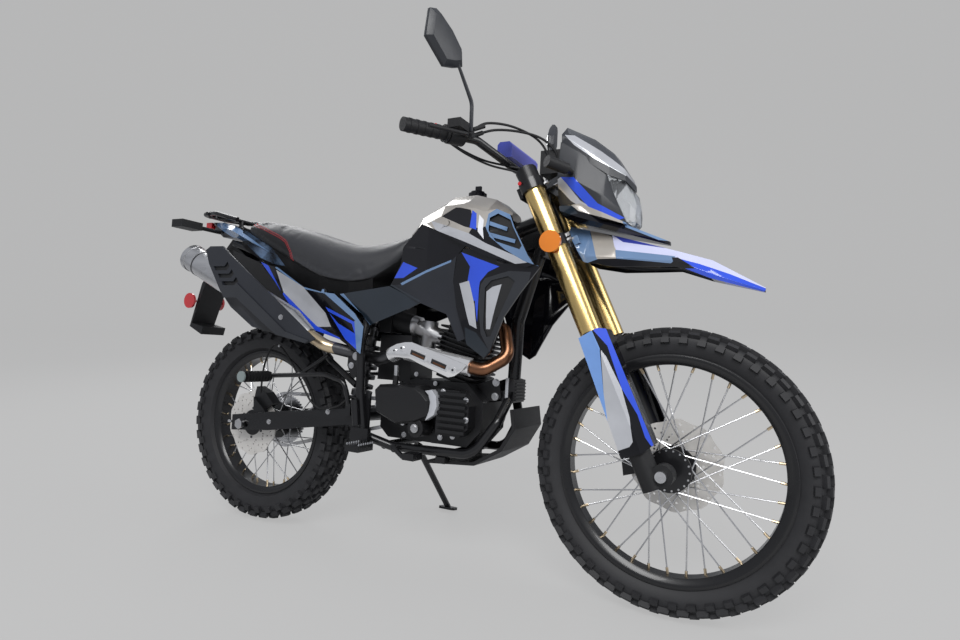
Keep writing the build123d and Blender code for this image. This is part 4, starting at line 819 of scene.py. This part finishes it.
def wheel(rim, floor, rim_width, hub, flange, flange_y, axle_radius, axle, **_):
    """A rim, a hub and the spokes between them."""
    half, well = rim_width / 2, rim_width / 2 - 10
    bm = bmesh.new()
    turned(bm, [(-half, rim), (-half - 1, rim - 4), (-half + 1, rim - 13), (-well, floor), (well, floor),
                (half - 1, rim - 13), (half + 1, rim - 4), (half, rim), (half - 3.5, rim),
                (half - 3.5, rim - 13), (well - 3, floor + 3.5), (3 - well, floor + 3.5),
                (3.5 - half, rim - 13), (3.5 - half, rim)], axle, ROUND_STEPS)
    core = [(flange_y + 4, axle_radius + 0.3), (flange_y + 4, hub - 4), (flange_y + 3, flange),
            (flange_y - 3, flange), (flange_y - 5, hub + 8), (flange_y - 14, hub)]
    turned(bm, [*core, *[(-y, r) for y, r in reversed(core)]], axle, HUB_STEPS)
    lacing, reach = flange - LACING_INSET, floor + 1.5
    for hand in (-1, 1):
        for k in range(SPOKES // 2):
            turn = Matrix.Translation(axle) @ Matrix.Rotation(4 * pi * (k + 0.5) / SPOKES, 4, "Y")
            at = turn @ mm(0, hand * (flange_y + 3), lacing)
            rod(bm, at, at + mm(0, hand * HEAD_HEIGHT, 0), HEAD_RADIUS, 8, BRIGHT)
    for k in range(SPOKES):
        hand = 1 if k % 2 else -1
        rim_angle = 2 * pi * k / SPOKES
        hub_angle = rim_angle + (SPOKE_SWEEP if k % 4 < 2 else -SPOKE_SWEEP)
        start = axle + mm(lacing * cos(hub_angle), hand * flange_y, lacing * sin(hub_angle))
        end = axle + mm(reach * cos(rim_angle), hand * flange_y * RIM_OFFSET, reach * sin(rim_angle))
        rod(bm, start, end, SPOKE_RADIUS, 8, BRIGHT)
        back = (start - end).normalized() / 1000
        rod(bm, end - back * NIPPLE_OUTSIDE, end + back * NIPPLE_INSIDE, NIPPLE_RADIUS, 8, BRASS)
    return bm


for name, sizes in WHEELS.items():
    piece(f"{name}_wheel_laced", wheel(**sizes), f"{name}_wheel", ["frame_black", "steel", "brass"],
          [f"{name}_wheel"], smooth=40)

# %% [markdown]
# ## Brake discs
# A wave disc is a thin scalloped ring with rows of drilled holes. Its edge, its bore and every hole
# are loops of one flat face. The face is filled between the loops and then given its thickness.

# %% Drilled wave discs
DISCS = {
    # axle, y, outer radius, bore
    "front": (FRONT_AXLE, 60, 118, 44),
    "rear": (REAR_AXLE, -80, 108, 42),
}
LOBES, WAVE, DISC_THICKNESS, HOLE_RADIUS = 10, 2.7, 3.6, 3.0
HOLES = [
    # degrees from the middle of a lobe, share of the outer radius
    (-9, 0.74), (-3, 0.88), (3, 0.80), (9, 0.66), (13, 0.90), (-14, 0.56), (16, 0.60),
]
BOLTS, BOLT_RADIUS, BOLT_HALF, BOLT_INSET, CARRIER_HALF = 6, 4.5, 3.5, 6, 1.5
EDGE_STEPS, BORE_STEPS, HOLE_STEPS, CARRIER_SIDES = 200, 60, 10, 48
BOLT, CARRIER = 1, 2


def loop(bm, middle, radius_at, count):
    """A closed ring of edges whose radius depends on the angle."""
    verts = []
    for k in range(count):
        a = 2 * pi * k / count
        verts.append(bm.verts.new(middle + mm(radius_at(a) * cos(a), 0, radius_at(a) * sin(a))))
    return [bm.edges.new(pair) for pair in zip(verts, verts[1:] + verts[:1])]


def drilled_disc(axle, y, outer, bore):
    """A scalloped and drilled ring, its bolts and the carrier inside it."""
    bm = bmesh.new()
    middle = axle + mm(0, y, 0)
    side = middle - mm(0, DISC_THICKNESS / 2, 0)
    edges = loop(bm, side, lambda a: outer - WAVE * (1 + cos(LOBES * a)), EDGE_STEPS)
    edges += loop(bm, side, lambda a: bore, BORE_STEPS)
    for lobe in range(LOBES):
        for ahead, share in HOLES:
            a = 2 * pi * (lobe + 0.5) / LOBES + radians(ahead)
            hole = side + mm(outer * share * cos(a), 0, outer * share * sin(a))
            edges += loop(bm, hole, lambda a: HOLE_RADIUS, HOLE_STEPS)
    bmesh.ops.triangle_fill(bm, use_beauty=True, use_dissolve=False, edges=edges)
    thickened(bm, list(bm.faces), mm(0, DISC_THICKNESS, 0))
    for k in range(BOLTS):
        turn = Matrix.Translation(axle) @ Matrix.Rotation(2 * pi * k / BOLTS, 4, "Y")
        at = turn @ mm(0, y, bore + BOLT_INSET)
        rod(bm, at - mm(0, BOLT_HALF, 0), at + mm(0, BOLT_HALF, 0), BOLT_RADIUS, 6, BOLT)
    reach = mm(0, CARRIER_HALF, 0)
    rod(bm, middle - reach, middle + reach, bore + 1, CARRIER_SIDES, CARRIER)
    return bm


for name, row in DISCS.items():
    piece(f"{name}_disc_drilled", drilled_disc(*row), f"{name}_wheel",
          ["disc_steel", "dark_steel", "engine_black"], [f"{name}_disc"])

# %% [markdown]
# ## Trim of the engine and exhaust
# What catches the eye on a black engine is its bright hardware: screws, the crescent band on the
# clutch cover and the clutch arm. Behind it are the frame's bracket plate and the air box, and ahead
# of it the regulator with its fins.

# %% Engine hardware
def plate(bm, outline, low, high, slot=0, bevel=0.0):
    """A flat plate from an outline of (x, z) between two values of y, bevelled round the low one."""
    verts = [bm.verts.new(mm(x, low, z)) for x, z in outline]
    moved = thickened(bm, [bm.faces.new(verts)], mm(0, high - low, 0))
    in_finish(verts + moved, slot)
    if bevel:
        rim = dict.fromkeys(e for v in verts for e in v.link_edges if e.other_vert(v) in verts)
        bmesh.ops.bevel(bm, geom=list(rim), offset=bevel / 1000, offset_type="OFFSET", segments=2,
                        profile=0.5, affect="EDGES", clamp_overlap=True, material=-1)


def screw(bm, x, y, z, radius):
    """A bolt head on the right side, with its washer."""
    at = mm(x, y, z)
    rod(bm, at, at - mm(0, 1.2, 0), radius * 1.35, 20)
    rod(bm, at, at - mm(0, 5, 0), radius, 6)


SCREWS = [
    # x, y, z, radius
    (465, -140, 574, 9), (450, -140, 546, 7), (654, -100, 534, 5), (716, -95, 512, 5), (763, -128, 494, 6),
    (835, -128, 476, 6), (838, -128, 424, 6), (777, -88, 370, 6), (737, -88, 363, 6), (616, -88, 357, 6),
    (499, -128, 469, 5), (493, -128, 447, 5), (548, -134, 440, 5), (620, -134, 498, 4), (728, -134, 452, 4),
    (640, -134, 396, 5), (881, -45, 526, 8), (880, -45, 487, 8), (821, -45, 494, 7), (690, -150, 388, 9),
    (560, -97, 322, 5), (790, -97, 330, 5), (120, -125, 345, 6), (360, -125, 400, 6),
]
BRACKET = [(436, 592), (474, 600), (486, 560), (480, 512), (452, 512), (434, 545)]
CRESCENT = [(716, 493), (738, 498), (752, 482), (757, 455), (749, 430), (722, 412), (732, 438), (735, 463),
            (728, 483)]
AIR_BOX, AIR_BOX_SIZE = mm(548, 0, 576), (118, 124, 136)
CLUTCH_ARM = [mm(603, -128, 556), mm(604, -128, 524), mm(602, -128, 486)]
STRAP = [(906, 474), (915, 474), (915, 540), (906, 540)]
REGULATOR = [(914, 474), (934, 478), (934, 536), (914, 540)]
FINS, FIN_PITCH = 6, 9
STEEL, SILVER, BLACK = range(3)

trim = bmesh.new()
plate(trim, BRACKET, -139.5, -134, BLACK, 1.0)
chunk(trim, Matrix.Translation(AIR_BOX), AIR_BOX_SIZE, 0.05, BLACK)
for row in SCREWS:
    screw(trim, *row)
plate(trim, CRESCENT, -149, -128, SILVER, 1.5)
cable_end, joint, pivot = CLUTCH_ARM
rod(trim, cable_end, joint, 6.5, 12, STEEL)
rod(trim, joint + mm(0, 0, 3), pivot, 8.5, 12, BLACK)
plate(trim, STRAP, -38, -30, SILVER, 0.8)
plate(trim, REGULATOR, -36, 36, BLACK, 1.5)
for k in range(FINS):
    foot = 480 + FIN_PITCH * k
    plate(trim, [(930, foot), (938, foot), (938, foot + 3), (930, foot + 3)], -32, 32, BLACK)
piece("engine_hardware", trim, "chassis", ["steel", "silver_paint", "engine_black"])

# %% [markdown]
# The polished shield keeps the rider's leg off the header. It is one flat plate on two posts, with a
# clamp on the pipe at its rear end. Each of its two slots is a raised lip over a dark floor of painted
# shade, with a copper strip across it as a painted glint of the pipe behind.

# %% Header guard
GUARD_PLATE = [(590, 592), (600, 606), (622, 617), (650, 623), (672, 624), (847, 572), (836, 556), (813, 540),
               (794, 535), (700, 566), (668, 578), (632, 580), (604, 578)]
GUARD_FACE, SLOT_TILT = -161, radians(17)
CLAMP, CLAMP_RADIUS = (mm(585, -126, 585), mm(604, -131, 592.5)), 22.5
# the dark finish is painted shade in the slots and the bolt heads, and the copper one a painted glint of the
# pipe
POLISHED, PIPE_GLINT, SHADE = range(3)
SLOT_LAYERS = [
    # x, y and z from the slot's middle, size, finish
    (0, 0, 0, (60, 1.2, 23), POLISHED), (0, -0.8, 0, (49, 1.0, 13), SHADE),
    (2, -1.3, -2.2, (40, 0.4, 5), PIPE_GLINT),
]

guard = bmesh.new()
plate(guard, GUARD_PLATE, GUARD_FACE, -158.5, POLISHED, 1.2)
for x, z in ((695, 590), (763, 569)):
    spot = Matrix.Translation(mm(x, GUARD_FACE - 0.4, z)) @ Matrix.Rotation(SLOT_TILT, 4, "Y")
    for *at, size, slot in SLOT_LAYERS:
        chunk(guard, spot @ Matrix.Translation(mm(*at)), size, 0, slot)
# bolt heads with dark centres of painted shade
for x, z, radius in ((808, 556, 8), (640, 606, 7), (616, 598, 6)):
    at = mm(x, GUARD_FACE, z)
    rod(guard, at, at - mm(0, 2.5, 0), radius, 20, POLISHED)
    rod(guard, at, at - mm(0, 3.2, 0), radius * 0.45, 6, SHADE)
for x, z in ((640, 597), (800, 553)):
    rod(guard, mm(x, -150, z), mm(x, -159, z), 6, 10, POLISHED)
rod(guard, *CLAMP, CLAMP_RADIUS, 28, POLISHED)
piece("header_guard", guard, "chassis", ["chrome", "copper_pipe", "vent_black_and_shade"])

# %% [markdown]
# The header is blued copper near the port, then dark, then straw-coloured before the canister. The
# canister has a seam ring and a dark disc of painted shade inside its outlet, and its shield is held
# by one screw and has a dark sheet of painted shade behind its slots. A thin dark guard on each side
# closes the view between the canister and the tail.

# %% Exhaust colours
dress("exhaust_pipe_tinted", "exhaust_pipe", "chassis", "copper_pipe", [
    ("dark_steel", [(410, 520), (622, 520), (622, 660), (410, 660)]),
    ("brass", [(200, 560), (410, 560), (410, 720), (200, 720)]),
], facing=EVERY_FACE, smooth=40)
dress("carburettor_dressed", "carburettor", "chassis", "aluminium", [
    ("rubber", [(480, 620), (592, 620), (592, 760), (480, 760)]),
], facing=EVERY_FACE, smooth=35)

TAIL, FOOT = mm(-222, -192, 872), mm(322, -184, 628)
# the third finish is painted shade in the outlet and behind the shield's slots, and the black of the inner
# guards
BAND, DARK_BAND, SHADE_AND_BLACK = range(3)
RINGS = [
    # distances inside the tail where it starts and ends, radius, sides, finish
    (64, 60, 44.8, 40, DARK_BAND), (58, 53, 45.0, 40, BAND), (36, 34, 23.6, 32, SHADE_AND_BLACK),
]
SLOT_SHEET = [(-62, 846), (20, 858), (78, 790), (44, 762), (-24, 786)]
INNER_GUARD = [(-110, 905), (20, 861), (100, 793), (176, 723), (299, 642), (318, 636), (300, 590), (140, 664),
               (0, 776), (-110, 878)]

outlet = (TAIL - FOOT).normalized() / 1000
rings = bmesh.new()
for start, end, radius, sides, slot in RINGS:
    rod(rings, TAIL - outlet * start, TAIL - outlet * end, radius, sides, slot)
screw(rings, 262, -246, 676, 6)
plate(rings, SLOT_SHEET, -239.7, -238.7, SHADE_AND_BLACK)
for low, high in ((-120, -117), (117, 120)):
    plate(rings, INNER_GUARD, low, high, SHADE_AND_BLACK)
piece("silencer_rings", rings, "chassis", ["steel", "dark_steel", "vent_black_and_shade"])

# %% [markdown]
# ## Cables and hoses
# Control cables are stiff: they leave the bar forwards and arch down to the head in one smooth
# curve. Each is a round tube along a Catmull-Rom path through a few points.

# %% Cables
TUBE_SIDES, TUBE_STEPS = 8, 7


def smooth_path(points):
    """A Catmull-Rom path in metres through points in millimetres."""
    points = [mm(*p) for p in points]
    ends = [points[0] * 2 - points[1]] + points + [points[-1] * 2 - points[-2]]
    path = []
    for a, b, c, d in zip(ends, ends[1:], ends[2:], ends[3:]):
        for k in range(TUBE_STEPS):
            t = k / TUBE_STEPS
            path.append(0.5 * (2 * b + (c - a) * t + (2 * a - 5 * b + 4 * c - d) * t * t
                               + (3 * b - a - 3 * c + d) * t ** 3))
    return path + [points[-1]]


def hose(bm, points, radius):
    """A round tube through points."""
    path = smooth_path(points)
    side = (path[1] - path[0]).orthogonal().normalized()
    turns = [2 * pi * j / TUBE_SIDES for j in range(TUBE_SIDES)]
    rings = []
    for k, spot in enumerate(path):
        run = (path[min(k + 1, len(path) - 1)] - path[max(k - 1, 0)]).normalized()
        side = (side - run * side.dot(run)).normalized()
        across = run.cross(side)
        rings.append([bm.verts.new(spot + (side * cos(a) + across * sin(a)) * radius / 1000) for a in turns])
    for a, b in zip(rings, rings[1:]):
        for j in range(TUBE_SIDES):
            bm.faces.new((a[j], a[(j + 1) % TUBE_SIDES], b[(j + 1) % TUBE_SIDES], b[j]))
    for ring in (rings[0][::-1], rings[-1]):
        bm.faces.new(ring)


CABLES = [
    # radius, points (x, y, z)
    (3.3, [(870, -236, 1172), (894, -206, 1196), (932, -140, 1206), (978, -84, 1188), (1004, -62, 1150),
           (1010, -56, 1100)]),
    (3.3, [(862, -228, 1158), (902, -180, 1186), (950, -120, 1196), (997, -84, 1184), (1030, -64, 1150),
           (1032, -56, 1112)]),
    (3.0, [(806, -250, 1142), (832, -196, 1124), (872, -140, 1108), (925, -104, 1098), (975, -84, 1084)]),
    (3.0, [(800, -256, 1148), (824, -206, 1132), (862, -150, 1118), (915, -110, 1110), (968, -88, 1100)]),
    (3.3, [(862, 228, 1158), (902, 180, 1186), (950, 120, 1196), (997, 84, 1184), (1020, 66, 1150),
           (1024, 58, 1110)]),
    (3.0, [(806, 250, 1142), (832, 196, 1124), (872, 140, 1108), (925, 104, 1098), (975, 84, 1084)]),
    (2.8, [(1012, -52, 1040), (1036, -66, 950), (1062, -80, 868), (1109, -82, 780), (1153, -82, 700),
           (1178, -84, 650)]),
]
SLEEVES = [(870, -236, 1172), (862, -228, 1158), (862, 228, 1158)]
REAR_HOSE_RADIUS = 3.0
REAR_HOSES = [
    [(66, -118, 432), (86, -130, 520), (112, -132, 578), (140, -132, 592), (176, -132, 570), (232, -132, 508),
     (289, -131, 432), (330, -131, 408)],
    [(330, -131, 408), (400, -134, 420), (452, -140, 452), (490, -152, 452)],
]

cables = bmesh.new()
for radius, points in CABLES:
    hose(cables, points, radius)
for x, y, z in SLEEVES:
    rod(cables, mm(x, y, z), mm(x + 18, y * 0.9, z + 15), 5.8)
piece("control_cables", cables, "steering", ["rubber"], smooth=60)

rear_hose = bmesh.new()
for points in REAR_HOSES:
    hose(rear_hose, points, REAR_HOSE_RADIUS)
for x, z in ((150, 590), (250, 484)):
    rod(rear_hose, mm(x - 3, -132, z), mm(x + 3, -132, z - 3), 4.5, 10, 1)
piece("rear_brake_hose", rear_hose, "chassis", ["rubber", "steel"], smooth=60)

# %% [markdown]
# ## Small hardware
# The passenger's pegs have ribbed rubbers with grey end caps, the rider's pegs rows of steel teeth,
# and the rear axle its nuts and adjusters.

# %% Pegs and axle nuts
RUBBER, CAP, METAL = range(3)
REAR_PEG_X, REAR_PEG_Z = 132, 492
TOOTH, TOOTH_ROWS, TOOTH_Z = (6, 6, 6), (518, 559), 334.5

pegs = bmesh.new()
for hand in (-1, 1):
    for rib in range(8):
        y = hand * (156 + 12 * rib)
        rod(pegs, mm(REAR_PEG_X, y, REAR_PEG_Z), mm(REAR_PEG_X, y + hand * 7, REAR_PEG_Z), 17.2, 20, RUBBER)
    rod(pegs, mm(REAR_PEG_X, hand * 257.5, REAR_PEG_Z), mm(REAR_PEG_X, hand * 262, REAR_PEG_Z), 16.5, 24, CAP)
    for k in range(7):
        for x in TOOTH_ROWS:
            chunk(pegs, Matrix.Translation(mm(x, hand * (158 + 10 * k), TOOTH_Z)), TOOTH, 0.5, METAL)
    rod(pegs, mm(0, hand * 137, REAR_RADIUS), mm(0, hand * 142, REAR_RADIUS), 17, 6, METAL)
    for x in (-34, -62):
        rod(pegs, mm(x, hand * 112, REAR_RADIUS), mm(x - 16, hand * 112, REAR_RADIUS), 5, 8, METAL)
piece("peg_rubbers", pegs, "chassis", ["rubber", "cap_grey", "steel"])

# %% [markdown]
# Each fork leg has a black cap with a steel adjuster and pinch bolts on its clamps. The clamp's ends
# and the right switch housing carry a small red dot.

# %% Fork caps, bolts and dots
UP_FORK, AHEAD_FORK = mm(-sin(RAKE), 0, cos(RAKE)), mm(cos(RAKE), 0, sin(RAKE))
CAP_HEIGHT, PINCH_BOLTS, DOT_HEIGHT = 838, (618, 632, 786), 800
BOLT_STEEL, CAP_BLACK, RED = range(3)


def fork_point(height, ahead, y):
    """A place up the fork and ahead of its steering axis."""
    (x, z), = on_fork([(height, ahead)])
    return mm(x, y, z)


fittings = bmesh.new()
for hand in (-1, 1):
    top = fork_point(CAP_HEIGHT, 18, hand * 107)
    rod(fittings, top, top + UP_FORK * 4, 26.2, 32, CAP_BLACK)
    rod(fittings, top, top + UP_FORK * 12, 11, 6, BOLT_STEEL)
    for height in PINCH_BOLTS:
        at = fork_point(height, 50, hand * 96)
        rod(fittings, at, at + AHEAD_FORK * 10, 5.5, 6, BOLT_STEEL)
    clamp_end = [fork_point(DOT_HEIGHT, -2, hand * y) for y in (139, 142)]
    rod(fittings, *clamp_end, 5, 12, RED)
rod(fittings, mm(800, -307, 1166), mm(800, -300, 1166), 6, 12, RED)
piece("fork_fittings", fittings, "steering", ["steel", "engine_black", "lamp_red"])

# %% [markdown]
# A mirror's glass is silvered and sits in the head a little smaller than its rim, on the rider's side.

# %% Mirror glass
MIRROR_FACE = [(-72, 75), (-45, 84), (20, 45), (76, -9), (81, -54), (45, -69), (0, -81), (-81, -15)]
MIRROR_TURN = radians(15)
GLASS_SHARE, GLASS_BACK, GLASS_THICKNESS = 0.9, 8.8, 0.8


def mirror_face(bm, hand):
    """The glass of the right (1) or left (-1) mirror."""
    out = Vector((sin(MIRROR_TURN), -cos(MIRROR_TURN), 0))
    ahead = Vector((cos(MIRROR_TURN), sin(MIRROR_TURN), 0))
    share = GLASS_SHARE * MIRROR_SHRINK / 1000
    verts = []
    for across, up in MIRROR_FACE:
        at = MIRROR_MIDDLE + out * across * share + Vector((0, 0, up)) * share - ahead * GLASS_BACK / 1000
        at.y *= -hand
        verts.append(bm.verts.new(at))
    back = mm(-GLASS_THICKNESS * cos(MIRROR_TURN), GLASS_THICKNESS * sin(MIRROR_TURN) * hand, 0)
    thickened(bm, [bm.faces.new(verts)], back)


glass = bmesh.new()
for hand in (-1, 1):
    mirror_face(glass, hand)
piece("mirror_glass", glass, "steering", ["mirror_glass"])

# %% [markdown]
# ## Stage, lights and camera
# A studio sweep: the floor runs back and turns up into the backdrop with no corner, so the shadow
# lies on a plain pale ground. Its sizes are in metres.

# %% Floor and backdrop
FLOOR_TONE, SEEN_GLOW, SEEN_SHADE = 0.50, 0.44, 0.09
HALF_WIDTH, NEAR_EDGE, SWEEP_START, SWEEP_RADIUS, BACKDROP = 16, -14, 8, 5, 8
STAGE_TURN = radians(27.7)


def studio_floor():
    """Pale grey that the camera sees evenly, and that still takes the shadow."""
    material = finish("studio_floor", (FLOOR_TONE,) * 3, 0.9, tone=0.0, bump=0.0)
    tree = material.node_tree
    glow = shader_node(tree, "Emission", Color=(SEEN_GLOW, SEEN_GLOW, SEEN_GLOW, 1))
    shaded = shader_node(tree, "BsdfDiffuse", Color=(SEEN_SHADE, SEEN_SHADE, SEEN_SHADE, 1))
    both = shader_node(tree, "AddShader")
    path = shader_node(tree, "LightPath")
    seen = shader_node(tree, "Math")
    seen.operation = "MAXIMUM"
    choose = shader_node(tree, "MixShader")
    for source, target in (
        (glow.outputs["Emission"], both.inputs[0]),
        (shaded.outputs["BSDF"], both.inputs[1]),
        (path.outputs["Is Camera Ray"], seen.inputs[0]),
        (path.outputs["Is Transmission Ray"], seen.inputs[1]),
        (seen.outputs["Value"], choose.inputs["Fac"]),
        (tree.nodes["Principled BSDF"].outputs["BSDF"], choose.inputs[1]),
        (both.outputs["Shader"], choose.inputs[2]),
        (choose.outputs["Shader"], tree.nodes["Material Output"].inputs["Surface"]),
    ):
        tree.links.new(source, target)
    return material


def drawn_out(bm, edges, vec):
    """Extrudes edges by vec, and returns the new vertices and edges."""
    grown = bmesh.ops.extrude_edge_only(bm, edges=edges)["geom"]
    verts = [g for g in grown if isinstance(g, bmesh.types.BMVert)]
    bmesh.ops.translate(bm, verts=verts, vec=vec)
    return verts, [e for e in bm.edges if all(v in verts for v in e.verts)]


def stage():
    """The floor, a quarter turn and the backdrop, square to the camera."""
    bm = bmesh.new()
    near = bm.edges.new([bm.verts.new((x, NEAR_EDGE, 0)) for x in (-HALF_WIDTH, HALF_WIDTH)])
    verts, edges = drawn_out(bm, [near], (0, SWEEP_START - NEAR_EDGE, 0))
    turned_up = bmesh.ops.spin(bm, geom=verts + edges, cent=(0, SWEEP_START, SWEEP_RADIUS), axis=(1, 0, 0),
                               angle=pi / 2, steps=16)["geom_last"]
    drawn_out(bm, [g for g in turned_up if isinstance(g, bmesh.types.BMEdge)], (0, 0, BACKDROP))
    bmesh.ops.recalc_face_normals(bm, faces=bm.faces)
    bm.transform(Matrix.Rotation(STAGE_TURN, 4, "Z"))
    mesh = smooth_mesh("floor", bm)
    mesh.materials.append(studio_floor())
    floor = placed("floor", mesh)


stage()

# %% [markdown]
# Three large soft lamps keep a colour about as it is written. The key stands high at the right
# front, the fill ahead and the rim behind at the left. The world adds a faint cool light from all
# round.

# %% World and lamps
world = bpy.data.worlds.new("studio")
scene.world = world
world.use_nodes = True
sky = world.node_tree.nodes["Background"]
sky.inputs["Color"].default_value = (0.9, 0.93, 1.0, 1)
sky.inputs["Strength"].default_value = 0.42


def lamp(name, place, aim, size, power):
    """A soft rectangle of light; places and sizes are in metres."""
    data = bpy.data.lights.new(name, "AREA")
    data.shape = "RECTANGLE"
    data.size, data.size_y = size
    data.energy = power
    holder = placed(name, data)
    holder.location = place
    holder.rotation_euler = (Vector(aim) - Vector(place)).to_track_quat("-Z", "Y").to_euler()


lamp("key", (1.5, -3.5, 4.2), (0.1, 0, 0.5), (3.5, 2.0), 215)
lamp("fill", (4.5, 1.0, 2.4), (0.2, 0, 0.6), (2.5, 2.5), 70)
lamp("rim", (-3.2, 1.8, 3.4), (0, 0, 0.7), (3.0, 1.6), 70)
print("a world and three lamps")

# %% [markdown]
# The camera stands at the front right, at about the height of the saddle, with a wide lens.

# %% Camera
SENSOR, LENS = 36.0, 616.3 / 960 * 36  # the lens shows 960 parts of width at 616.3 parts of distance
CAMERA_PLACE = mm(1626, -1493, 810)
YAW, PITCH, ROLL = radians(117.695), radians(-3.711), radians(0.102)


def camera():
    """A camera from where it stands and which way it looks."""
    data = bpy.data.cameras.new("camera")
    data.sensor_width, data.lens = SENSOR, LENS
    look = Vector((cos(YAW) * cos(PITCH), sin(YAW) * cos(PITCH), sin(PITCH)))
    right = look.cross(Vector((0, 0, 1))).normalized()
    turn = Matrix((right, right.cross(look), -look)).transposed().to_4x4()
    holder = placed("camera", data)
    holder.matrix_world = Matrix.Translation(shift + CAMERA_PLACE) @ turn @ Matrix.Rotation(-ROLL, 4, "Z")
    scene.camera = holder


camera()
print("a lens of", round(LENS, 2), "mm")
